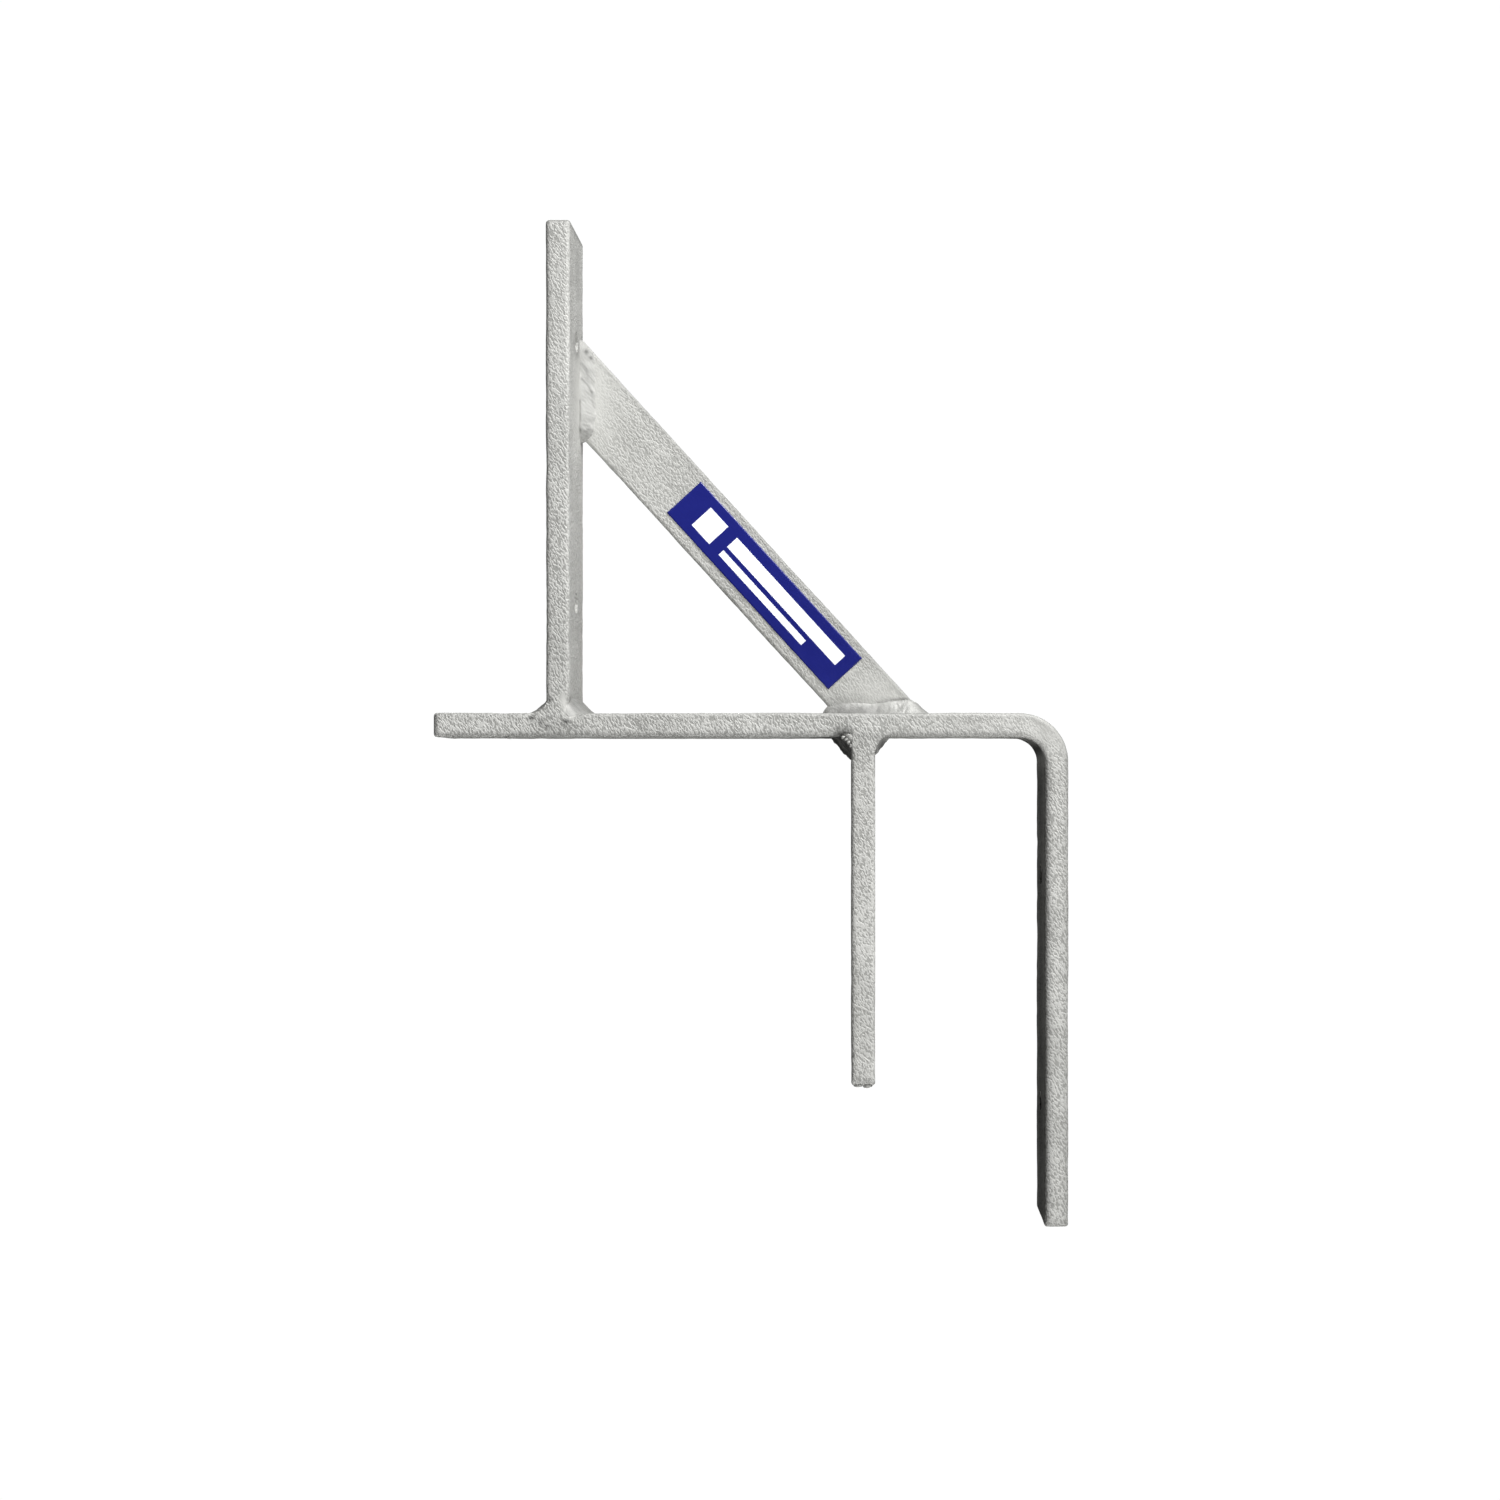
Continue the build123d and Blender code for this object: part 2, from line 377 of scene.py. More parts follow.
def linear_colour(code: str) -> tuple[float, float, float, float]:
    """Turn an sRGB hex code into a linear colour with full cover.

    Args:
        code: Six hex digits.

    Returns:
        Red, green, blue and cover.
    """
    shares = [int(code[i : i + 2], 16) / 255.0 for i in (0, 2, 4)]
    linear = [s / 12.92 if s <= 0.04045 else ((s + 0.055) / 1.055) ** 2.4 for s in shares]
    return (linear[0], linear[1], linear[2], 1.0)


def add_node(
    tree: bpy.types.NodeTree,
    kind: str,
    sockets: dict[str | int, object] | None = None,
    settings: dict[str, object] | None = None,
) -> bpy.types.Node:
    """Add a node with its settings, and fill its sockets with values or links.

    Args:
        tree: The material's node tree.
        kind: Blender's name for the kind of node.
        sockets: Each input's name or number, and its value or the socket that feeds it.
        settings: Each property's name and value.

    Returns:
        The new node.
    """
    made = tree.nodes.new(kind)
    for name, value in (settings or {}).items():
        setattr(made, name, value)
    for name, value in (sockets or {}).items():
        if isinstance(value, bpy.types.NodeSocket):
            tree.links.new(value, made.inputs[name])
        else:
            made.inputs[name].default_value = value
    return made


def add_noise(
    tree: bpy.types.NodeTree, place: bpy.types.NodeSocket, size: float, **settings: float
) -> bpy.types.NodeSocket:
    """Add noise over places in metres.

    Args:
        tree: The material's node tree.
        place: The socket that gives the place.
        size: The pattern's size in millimetres, which the node wants as waves per metre.
        settings: Values for the node's other sockets.

    Returns:
        The socket of the noise's value.
    """
    sockets = {"Vector": place, "Scale": 1.0 / (size * MM), **settings}
    return add_node(tree, "ShaderNodeTexNoise", sockets).outputs["Fac"]


def add_range(
    tree: bpy.types.NodeTree,
    value: bpy.types.NodeSocket,
    taken: tuple[float, float],
    given: tuple[float, float] = (0.0, 1.0),
    way: str = "LINEAR",
) -> bpy.types.NodeSocket:
    """Carry one range of values over to another, held at both ends.

    Args:
        tree: The material's node tree.
        value: The socket that gives the value.
        taken: The range's ends before.
        given: The range's ends after.
        way: Blender's name for the way between them.

    Returns:
        The socket of the new value.
    """
    names = ("From Min", "From Max", "To Min", "To Max")
    sockets = {"Value": value, **dict(zip(names, (*taken, *given)))}
    node = add_node(tree, "ShaderNodeMapRange", sockets, {"interpolation_type": way})
    return node.outputs["Result"]


def add_sum(
    tree: bpy.types.NodeTree, operation: str, *terms: bpy.types.NodeSocket | float
) -> bpy.types.NodeSocket:
    """Work out one sum.

    Args:
        tree: The material's node tree.
        operation: Blender's name for the sum.
        terms: Its terms, each a socket or a number.

    Returns:
        The result's socket.
    """
    node = add_node(tree, "ShaderNodeMath", dict(enumerate(terms)), {"operation": operation})
    return node.outputs["Value"]


def add_blend(
    tree: bpy.types.NodeTree,
    share: bpy.types.NodeSocket,
    first: bpy.types.NodeSocket | str,
    second: bpy.types.NodeSocket | str,
) -> bpy.types.NodeSocket:
    """Blend two colours.

    Args:
        tree: The material's node tree.
        share: The socket that gives the second colour's share.
        first: The first colour, a socket or an sRGB hex code.
        second: The second colour, likewise.

    Returns:
        The socket of the blend.
    """
    colours = [linear_colour(end) if isinstance(end, str) else end for end in (first, second)]
    sockets = {0: share, 6: colours[0], 7: colours[1]}
    return add_node(tree, "ShaderNodeMix", sockets, {"data_type": "RGBA"}).outputs[2]


def add_bump(
    tree: bpy.types.NodeTree,
    height: bpy.types.NodeSocket,
    depth: float,
    strength: bpy.types.NodeSocket | float = 1.0,
) -> bpy.types.NodeSocket:
    """Turn a height from 0 to 1 into a bump.

    Args:
        tree: The material's node tree.
        height: The socket that gives the height.
        depth: How far the full height stands out, in millimetres.
        strength: How much of it is left, a socket or a number.

    Returns:
        The socket of the bumped normal.
    """
    sockets = {"Height": height, "Strength": strength, "Distance": depth * MM}
    return add_node(tree, "ShaderNodeBump", sockets).outputs["Normal"]


def read_attribute(tree: bpy.types.NodeTree, name: str) -> bpy.types.NodeSocket:
    """Give the socket of a value that each vertex carries."""
    return add_node(tree, "ShaderNodeAttribute", None, {"attribute_name": name}).outputs["Fac"]


def empty_material(name: str) -> bpy.types.Material:
    """Make a material with an empty node tree.

    Args:
        name: The material's name.

    Returns:
        The material.
    """
    material = bpy.data.materials.new(name)
    material.use_nodes = True
    material.node_tree.nodes.clear()
    return material


def close_tree(
    tree: bpy.types.NodeTree,
    kind: str,
    sockets: dict[str | int, object],
    output: str = "ShaderNodeOutputMaterial",
) -> None:
    """Add a tree's last shader and lead it to the output.

    Args:
        tree: The material's or the world's node tree.
        kind: Blender's name for the shader.
        sockets: Each input's name, and its value or the socket that feeds it.
        output: Blender's name for the output.
    """
    shader = add_node(tree, kind, sockets)
    add_node(tree, output, {"Surface": shader.outputs[0]})


@dataclass(frozen=True)
class Galvanised:
    """Hot-dip galvanised mild steel, left dull.

    The zinc freezes over rolled bar as fine worm-like ridges with small dark pits between, a
    matt light grey with little shine and faint clouds of lighter and darker zinc. The ridges
    run askew down the bars, the way that the zinc drained from the bath. The colour in their
    valleys is darker, partly for the dark pits and partly as painted shade.
    """

    name: str
    light: str = "C4C4C1"
    dark: str = "949491"
    pit_and_shade: str = "62625E"
    bright: str = "BABAB6"
    shade_and_soot: str = "1E1E1C"
    pit_and_shade_share: float = 0.6
    bright_share: float = 0.7
    ridge_pitch: float = 0.76
    ridge_turn: tuple[float, float, float] = (0.12, 1.03, 0.08)
    ridge_stretch: float = 1.8
    ridge_height: float = 0.24
    grit_pitch: float = 0.4
    grit_share: float = 0.5
    cloud_size: float = 14.0
    roughness: float = 0.66
    shine_spread: tuple[float, float] = (-0.06, 0.08)
    metallic: float = 0.25
    ridge_band: tuple[float, float] = (0.36, 0.64)
    pit_and_shade_band: tuple[float, float] = (0.0, 0.4)
    cloud_band: tuple[float, float] = (0.3, 0.7)

    def build(self) -> bpy.types.Material:
        """Make the material's node tree.

        The ridges are noise eased into steps, on places stretched along their run. Grit is
        added to them in the bump, and where they are lowest the colour goes darker, partly for
        dark pits and partly as painted shade in the valleys. Painted shade and dark marks, and
        the grain's strength, come from the vertices.

        Returns:
            The material.
        """
        material = empty_material(self.name)
        tree = material.node_tree
        place = add_node(tree, "ShaderNodeTexCoord").outputs["Object"]
        place = add_node(
            tree,
            "ShaderNodeMapping",
            {
                "Vector": place,
                "Rotation": self.ridge_turn,
                "Scale": (self.ridge_stretch, 1.0, 1.0),
            },
            {"vector_type": "TEXTURE"},
        ).outputs["Vector"]
        ridges = add_noise(tree, place, self.ridge_pitch, Detail=0.6, Roughness=0.7, Distortion=0.3)
        worms = add_range(tree, ridges, self.ridge_band, way="SMOOTHSTEP")
        grit = add_noise(tree, place, self.grit_pitch, Detail=1.0)
        clouds = add_noise(tree, place, self.cloud_size, Detail=3.0, Roughness=0.6)
        height = add_sum(tree, "MULTIPLY_ADD", grit, self.grit_share, worms)
        grain = read_attribute(tree, "grain")
        bump = add_bump(tree, height, self.ridge_height, grain)
        body = add_blend(tree, clouds, self.dark, self.light)
        smooth = add_range(tree, grain, (0.0, 1.0), (self.bright_share, 0.0))
        body = add_blend(tree, smooth, body, self.bright)
        # Darker colour in the ridges' valleys: partly dark pits, partly painted shade
        tone = add_range(tree, worms, self.pit_and_shade_band, (self.pit_and_shade_share, 0.0))
        tone = add_sum(tree, "MULTIPLY", tone, grain)
        colour = add_blend(tree, tone, body, self.pit_and_shade)
        # Painted shade and dark marks from the vertices darken the colour
        colour = add_blend(tree, read_attribute(tree, "painted_shade_and_stain"), colour, self.shade_and_soot)
        low, high = self.shine_spread
        ends = (self.roughness + low, self.roughness + high)
        shine = add_range(tree, clouds, self.cloud_band, ends)
        sockets = {
            "Base Color": colour,
            "Metallic": self.metallic,
            "Roughness": shine,
            "Normal": bump,
        }
        close_tree(tree, "ShaderNodeBsdfPrincipled", sockets)
        return material


# Bars


@dataclass(frozen=True)
class StraightPath:
    """A bar's middle line, straight, with the directions of its width and its thickness."""

    start: Array
    run: Array
    length: float
    across: Array
    outward: Array

    def at(self, distance: Array) -> tuple[Array, Array, Array]:
        """Follow the path: a place is the start plus the run times the distance.

        Args:
            distance: Distances along it.

        Returns:
            The places, width directions and thickness directions there.
        """
        places = self.start + distance[:, None] * self.run
        shape = (len(distance), 1)
        return places, np.tile(self.across, shape), np.tile(self.outward, shape)


@dataclass(frozen=True)
class BentPath:
    """A bar's middle line that runs level along X and turns down through a right angle."""

    start: Array
    level: float
    radius: float
    length: float

    def at(self, distance: Array) -> tuple[Array, Array, Array]:
        """Follow the path along the level, round the bend and down.

        The turned angle is the distance past the bend's start over the bend's radius, held
        between nothing and a right angle. The place is the start, plus the level run, plus the
        chord of the arc turned so far, plus what is left of the distance straight down.

        Args:
            distance: Distances along it.

        Returns:
            The places, width directions and thickness directions there.
        """
        turned = np.clip((distance - self.level) / self.radius, 0.0, math.pi / 2)
        flat = np.minimum(distance, self.level)
        down = np.maximum(distance - self.level - self.radius * math.pi / 2, 0.0)
        zero = np.zeros_like(distance)
        x = flat + self.radius * np.sin(turned)
        z = -self.radius * (1.0 - np.cos(turned)) - down
        places = self.start + np.stack([x, zero, z], axis=1)
        outward = np.stack([np.sin(turned), zero, np.cos(turned)], axis=1)
        return places, np.tile(Y_AXIS, (len(distance), 1)), outward


@dataclass(frozen=True)
class BarSection:
    """The rolled section of flat bar: two wide faces, two narrow ones and four rounded edges."""

    width: float
    thick: float
    edge: float
    face_columns: int = 16
    edge_columns: int = 6
    side_columns: int = 9

    def half(self) -> tuple[Array, Array, Array, Array]:
        """Give the four factors of each column, from the middle of one wide face to the other.

        A column's place across the width is the inner limit, plus the first factor times the
        flat stretch, plus the second times the edge radius. Its place through the thickness is
        the third factor times the flat half side, plus the fourth times the edge radius. The
        second and fourth are also the normal.

        Returns:
            The four factors, each with one value for each column.
        """
        flat = np.linspace(0.0, 1.0, self.face_columns + 1)
        turn = np.linspace(0.0, math.pi / 2, self.edge_columns + 1)[1:]
        side = np.linspace(1.0, -1.0, self.side_columns + 1)[1:]
        one_face, one_edge, one_side = np.ones_like(flat), np.ones_like(turn), np.ones_like(side)
        last_face = one_face[1:]
        stretch = [flat, one_edge, one_side, one_edge, flat[::-1][1:]]
        round_across = [0.0 * flat, np.sin(turn), one_side, np.cos(turn), 0.0 * last_face]
        through = [one_face, one_edge, side, -one_edge, -last_face]
        round_through = [one_face, np.cos(turn), 0.0 * side, -np.sin(turn), -last_face]
        parts = (stretch, round_across, through, round_through)
        return tuple(np.concatenate(part) for part in parts)


@dataclass
class FlatBar:
    """A length of flat bar along a path, with round holes on the middle of its width."""

    name: str
    path: StraightPath | BentPath
    section: BarSection
    holes: Sequence[float] = ()
    free_start: bool = False
    free_end: bool = True
    spacing: float = 1.0
    rim_round: float = 0.45
    fine: Sequence[tuple[float, float]] = ()

    def stations(self) -> Array:
        """Give the distances of the rows, even apart from the free ends and the holes.

        There they follow the cosine of an even angle, so that they crowd where the outline
        turns across the bar. Fine stretches, beside the welds, have closer rows.

        Returns:
            The distances, in order.
        """
        length = self.path.length
        turn = np.linspace(0.0, math.pi, 29)
        quarter = np.linspace(0.0, math.pi / 2, 13)
        stretches = [hole - HOLE_RADIUS * np.cos(turn) for hole in sorted(self.holes)]
        if self.free_start:
            stretches.insert(0, END_CORNER * (1.0 - np.cos(quarter)))
        else:
            stretches.insert(0, np.array([0.0]))
        if self.free_end:
            stretches.append(length - END_CORNER + END_CORNER * np.sin(quarter))
        else:
            stretches.append(np.array([length]))
        rows = [stretches[0]]
        for before, after in zip(stretches, stretches[1:]):
            steps = max(2, round((after[0] - before[-1]) / self.spacing))
            rows.append(np.linspace(before[-1], after[0], steps + 1)[1:-1])
            rows.append(after)
        even = np.concatenate(rows)
        for first, last in self.fine:
            outside = even[(even < first) | (even > last)]
            even = np.concatenate([outside, np.arange(first, last, FINE_SPACING)])
        return np.sort(even)

    def end_gap(self, distance: Array) -> Array:
        """Give each row's gap to the nearest free end.

        Args:
            distance: The rows' distances along the path.

        Returns:
            One gap for each row.
        """
        gap = np.full_like(distance, 1e6)
        if self.free_start:
            gap = np.minimum(gap, distance)
        if self.free_end:
            gap = np.minimum(gap, self.path.length - distance)
        return gap

    def half_grid(self, distance: Array, side: float) -> Array:
        """Give one half of the skin, from the middle of one wide face round to the other's.

        A row's outline is the section at that distance. Its inner limit is the half chord of
        any hole there, and its half width, half thickness and edge radius shrink as a quarter
        circle towards a free end.

        Args:
            distance: The rows' distances along the path.
            side: Plus one for the half along the width direction, minus one for the other.

        Returns:
            Places in rows and columns.
        """
        places, across, outward = self.path.at(distance)
        stretch, round_across, through, round_through = self.section.half()
        chord = np.zeros_like(distance)
        for hole in self.holes:
            reach = np.clip(HOLE_RADIUS**2 - (distance - hole) ** 2, 0.0, None)
            chord = np.maximum(chord, np.sqrt(reach))
        gap = self.end_gap(distance)
        pillow = quarter_round(gap, self.section.edge)
        half_width = self.section.width / 2 - quarter_round(gap, END_CORNER) - pillow
        half_thick = self.section.thick / 2 - pillow
        edge = self.section.edge - pillow
        flat = half_width - edge - chord
        wide = chord[:, None] + flat[:, None] * stretch + edge[:, None] * round_across
        thick = (half_thick - edge)[:, None] * through + edge[:, None] * round_through
        spot = places[:, None, :] + outward[:, None, :] * thick[..., None]
        spot = spot + side * across[:, None, :] * wide[..., None]
        fade = smooth_step(gap / END_CORNER)[:, None] * 0.7 + 0.3
        height = bar_relief(spot, fade)[..., None]
        normal = outward[:, None, :] * round_through[:, None]
        normal = normal + side * across[:, None, :] * round_across[:, None]
        return spot + normal * height

    def build(self) -> bpy.types.Object:
        """Make the bar's mesh: two halves of the skin, the holes' walls and the two ends.

        Returns:
            The bar, with its holes' rims rounded.
        """
        distance = self.stations()
        patches = Patchwork()
        halves = [self.half_grid(distance, side) for side in (1.0, -1.0)]
        for half in halves:
            patches.add_grid(half)
            for hole in self.holes:
                inside = np.abs(distance - hole) < HOLE_RADIUS + 1e-6
                near, far = half[inside, 0], half[inside, -1]
                share = np.linspace(0.0, 1.0, 9)[None, :, None]
                patches.add_grid(near[:, None, :] * (1.0 - share) + far[:, None, :] * share)
        for row in (0, -1):
            loop = np.concatenate([halves[0][row], halves[1][row][::-1][1:-1]])
            patches.add_cap(loop)
        made = patches.build(self.name)
        if self.holes:
            bevel_sharp_edges(made, self.rim_round)
        return made


# Welds


@dataclass
class WeldBead:
    """A fillet weld in a corner, with the small curved ripples of a hand-run bead.

    Its knots are rows of the distance along the run and the two legs there.
    """

    name: str
    start: Array
    run: Array
    first: Array
    second: Array
    knots: Sequence[tuple[float, float, float]]
    hollow: tuple[float, float] = (0.95, 0.95)
    depth: float = 2.4
    leans: tuple[float, float] = (0.0, 0.0)
    ripple_pitch: float = 2.1
    ripple_height: float = 0.025
    ripple_bow: float = 2.2
    lump_height: float = 0.08
    lump_sizes: tuple[float, float] = (5.0, 2.0)
    crumb_height: float = 0.0
    crumb_size: float = 1.9
    crumb_fade: float = 3.5
    wander: float = 0.25
    wander_length: float = 9.0
    seed: int = 50

    def rows(self) -> Array:
        """Give the rows' distances, even but for both ends, where they follow a cosine.

        Returns:
            The distances, in order.
        """
        length = self.knots[-1][0]
        ends = 2.0
        quarter = ends * (1.0 - np.cos(np.linspace(0.0, math.pi / 2, 13)))
        inner = np.linspace(ends, length - ends, max(12, round(length / BEAD_SPACING)))
        return np.concatenate([quarter[:-1], inner, (length - quarter[:-1])[::-1]])

    def face(self, middle: Array, legs: Array, distance: Array) -> Array:
        """Give the bead's face, from the first toe to the second.

        Across the face the legs follow a power of the cosine and sine of an angle from toe to
        toe, a superellipse, whose power goes from one end's hollow to the other's. Ripples are
        a cosine of the distance along the run plus the square of the angle from the middle, so
        they bow. Lumps of two sizes are added, and crumbs that fade away from the start.

        Args:
            middle: The corner's places along the run.
            legs: Both legs at each place.
            distance: The places' distances along the run.

        Returns:
            Places in rows and columns.
        """
        angle = np.linspace(0.0, math.pi / 2, 25)
        power = 2.0 / np.interp(distance, [0.0, distance[-1]], self.hollow)[:, None]
        share = legs / legs.max(axis=0)
        first_toe, second_toe = (
            1.0 + self.wander * soft_noise(middle, self.wander_length, self.seed + leg) / most
            for leg, most in enumerate(legs.max(axis=0))
        )
        wide = (legs[:, 0] * first_toe)[:, None] * np.cos(angle) ** power
        high = (legs[:, 1] * second_toe)[:, None] * np.sin(angle) ** power
        spot = middle[:, None, :] + wide[..., None] * self.first + high[..., None] * self.second
        bow = self.ripple_bow * (angle - math.pi / 4) ** 2
        phase = distance[:, None] / self.ripple_pitch + bow
        phase = phase + 0.25 * soft_noise(middle, 6.0, self.seed + 2)[:, None]
        proud = self.ripple_height * np.cos(2.0 * np.pi * phase)
        large, small = self.lump_sizes
        proud = proud + self.lump_height * soft_noise(spot, large, self.seed + 3)
        proud = proud + 0.35 * self.lump_height * soft_noise(spot, small, self.seed + 4)
        crumbs = self.crumb_height * soft_noise(spot, self.crumb_size, self.seed + 5)
        proud = proud + crumbs * np.exp(-distance / self.crumb_fade)[:, None]
        cover = np.sin(2.0 * angle) ** 0.5 * share.min(axis=1)[:, None]
        return spot + (proud * cover)[..., None] * (self.first + self.second) / math.sqrt(2.0)

    def build(self) -> bpy.types.Object:
        """Make the bead's mesh.

        Under the face the outline goes into the seam and back to the first toe. A lean moves
        each place along the run by a share of its reach along the first leg, so that an end
        can follow a slanted edge.

        Returns:
            The bead, closed.
        """
        distance = self.rows()
        legs = through_knots(distance, np.array(self.knots))
        middle = self.start + distance[:, None] * self.run
        face = self.face(middle, legs, distance)
        share = (legs / legs.max(axis=0)).min(axis=1)
        deep = self.depth * np.minimum(1.0, 2.0 * share)[:, None, None]
        base = middle[:, None, :]
        under = [
            face[:, -1:] - deep * self.first,
            base - deep * (self.first + self.second),
            face[:, :1] - deep * self.second,
            face[:, :1],
        ]
        ring = np.concatenate([face, *under], axis=1)
        onward = distance / distance[-1]
        lean = self.leans[0] * (1.0 - onward) + self.leans[1] * onward
        offset = np.clip((ring - base) @ self.first, 0.0, None)
        ring = ring + (lean[:, None] * offset)[..., None] * self.run
        patches = Patchwork()
        patches.add_grid(ring)
        for row in (0, -1):
            if share[row] > 0.0:
                patches.add_cap(ring[row, :-1])
        return patches.build(self.name)


@dataclass
class FlushPatch:
    """Weld metal level with the bars' edges, which closes the notch over a rounded edge.

    Its knots are rows of X, the Z of its inner and outer limits there, and the radius at which
    the outer limit is rounded off.
    """

    name: str
    side: Side
    knots: Sequence[tuple[float, float, float, float]]
    proud: float = 0.02
    rim: float = 0.06
    depth: float = 2.8

    def build(self) -> bpy.types.Object:
        """Make the patch: a grid of steps along X and of an angle from one limit to the other.

        The face follows the bars' own skin, a hair proud of it, and falls back as a quarter
        circle at its outer limit. A flat back inside the bars closes it.

        Returns:
            The patch, closed.
        """
        knots = np.array(self.knots)
        steps = round((knots[-1, 0] - knots[0, 0]) / BEAD_SPACING)
        x = np.linspace(knots[0, 0], knots[-1, 0], steps)
        inner, outer, radius = through_knots(x, knots, 0.8).T[:, :, None]
        share = (1.0 - np.cos(np.linspace(0.0, math.pi, 41))) / 2
        z = inner + (outer - inner) * share
        border = np.minimum(np.minimum(x - x[0], x[-1] - x)[:, None], np.abs(z - inner))
        fall = quarter_round(np.abs(outer - z), radius) + quarter_round(border, self.rim)
        flat = np.stack([x[:, None] + 0.0 * z, 0.0 * z, z], axis=-1)
        outward = self.side.value * Y_AXIS
        ideal = flat + BAR_WIDTH / 2 * outward
        inset = fall - bar_relief(ideal) - self.proud
        face = ideal - inset[..., None] * outward
        back = flat + (BAR_WIDTH / 2 - self.depth) * outward
        ring = np.concatenate([face, back[:, ::-1], face[:, :1]], axis=1)
        patches = Patchwork()
        patches.add_grid(ring)
        for row in (0, -1):
            patches.add_cap(ring[row, :-1])
        return patches.build(self.name)


@dataclass
class ZincLumps:
    """Frozen drops of zinc: each one's place and its half sizes."""

    name: str
    drops: Sequence[tuple[tuple[float, float, float], tuple[float, float, float]]]
    hang: float = 0.35

    def build(self) -> bpy.types.Object:
        """Make the drops: flattened balls whose lower halves hang to one side.

        The surface is a sphere scaled to the half sizes, whose X place falls with its depth.

        Returns:
            The drops, in one piece.
        """
        level = np.linspace(-math.pi / 2, math.pi / 2, 21)[:, None]
        turn = np.linspace(0.0, 2.0 * math.pi, 33)[None, :]
        x = np.cos(level) * np.cos(turn)
        y = np.cos(level) * np.sin(turn)
        z = np.sin(level) * np.ones_like(turn)
        sphere = np.stack([x - self.hang * np.clip(-z, 0.0, None), y, z], axis=-1)
        patches = Patchwork()
        for place, half in self.drops:
            patches.add_grid(np.array(place) + sphere * np.array(half))
        return patches.build(self.name)


# Brace and its sticker


@dataclass(frozen=True)
class BraceFrame:
    """Where the brace lies: its lower edge's head, its slant and the directions of its face."""

    head: Array
    along: Array
    across: Array

    @staticmethod
    def from_box(low: Array, high: Array, width: float) -> "BraceFrame":
        """Work the slant out from the brace's box.

        The box's diagonal in X and Z is the upper edge's line, as both ends are cut by the
        upright and by the bar.

        Args:
            low: The box's lowest corner.
            high: Its highest corner.
            width: The brace's width.

        Returns:
            Where the brace lies.
        """
        slant = math.atan2(high[2] - low[2], high[0] - low[0])
        head = np.array([low[0], low[1], high[2] - width / math.cos(slant)])
        along = np.array([math.cos(slant), 0.0, -math.sin(slant)])
        across = np.array([math.sin(slant), 0.0, math.cos(slant)])
        return BraceFrame(head, along, across)


@dataclass
class Brace:
    """The diagonal flat bar, sheared off along the upright at its head and the bar at its foot."""

    name: str
    place: BraceFrame
    section: BarSection
    last_level: float
    rows: int = 170

    def build(self) -> bpy.types.Object:
        """Make the brace's mesh.

        Every column of the section runs along the slant from where it meets the upright's
        plane to where it meets the bar's, so both ends come out sheared.

        Returns:
            The brace, closed.
        """
        stretch, round_across, through, round_through = self.section.half()
        half_width = self.section.width / 2
        half_thick = self.section.thick / 2
        edge = self.section.edge
        wide = (half_width - edge) * stretch + edge * round_across
        thick = (half_thick - edge) * through + edge * round_through
        share = np.linspace(0.0, 1.0, self.rows)[:, None, None]
        middle = self.place.head + half_width * self.place.across + half_thick * Y_AXIS
        patches = Patchwork()
        halves = []
        for side in (1.0, -1.0):
            column = middle + side * wide[:, None] * self.place.across - thick[:, None] * Y_AXIS
            to_upright = (self.place.head[0] - JOINT_DEPTH - column[:, 0]) / self.place.along[0]
            to_bar = (self.last_level - JOINT_DEPTH - column[:, 2]) / self.place.along[2]
            reach = to_upright[:, None] * (1.0 - share) + to_bar[:, None] * share
            spot = column[None, :, :] + reach * self.place.along
            normal = side * round_across[:, None] * self.place.across
            normal = normal - round_through[:, None] * Y_AXIS
            halves.append(spot + BRACE_SKIN.at(spot)[..., None] * normal)
            patches.add_grid(halves[-1])
        for row in (0, -1):
            patches.add_cap(np.concatenate([halves[0][row], halves[1][row][::-1][1:-1]]))
        return patches.build(self.name)


@dataclass(frozen=True)
class VinylPrint:
    """A printed vinyl sticker: one dark blue ground with plain white shapes, a little glossy.

    The shapes are a square and two bars, each given by its middle and its half sizes in the
    sticker's own millimetres, so that they stay crisp. Fine orange peel shows the zinc's
    grain through the thin film.
    """

    name: str
    ground: str = "161B64"
    ink: str = "E4E6EC"
    roughness: float = 0.34
    blur: float = 0.06
    peel_size: float = 1.6
    peel_depth: float = 0.05
    shapes: Sequence[tuple[float, float, float, float]] = (
        (16.5, 9.8, 5.5, 5.5),
        (62.0, 12.0, 34.0, 2.9),
        (54.0, 5.6, 26.0, 1.4),
    )

    def build(self) -> bpy.types.Material:
        """Make the material's node tree.

        A white shape is a box in the sticker's own UV, which is in millimetres. Each box is
        the product of two steps, one in each direction, softened over a tenth of a
        millimetre, and the boxes are joined by their maximum.

        Returns:
            The material.
        """
        material = empty_material(self.name)
        tree = material.node_tree
        uv = add_node(tree, "ShaderNodeUVMap", None, {"uv_map": "print"}).outputs["UV"]
        split = add_node(tree, "ShaderNodeSeparateXYZ", {"Vector": uv})
        boxes = []
        for middle_u, middle_v, half_u, half_v in self.shapes:
            shares = []
            for axis, middle, half in (("X", middle_u, half_u), ("Y", middle_v, half_v)):
                gap = add_sum(tree, "SUBTRACT", split.outputs[axis], middle)
                gap = add_sum(tree, "ABSOLUTE", gap)
                shares.append(add_range(tree, gap, (half + self.blur, half - self.blur)))
            boxes.append(add_sum(tree, "MULTIPLY", *shares))
        cover = boxes[0]
        for box in boxes[1:]:
            cover = add_sum(tree, "MAXIMUM", cover, box)
        colour = add_blend(tree, cover, self.ground, self.ink)
        place = add_node(tree, "ShaderNodeTexCoord").outputs["Object"]
        peel = add_noise(tree, place, self.peel_size, Detail=2.0)
        bump = add_bump(tree, peel, self.peel_depth)
        sockets = {"Base Color": colour, "Roughness": self.roughness, "Normal": bump}
        close_tree(tree, "ShaderNodeBsdfPrincipled", sockets)
        return material


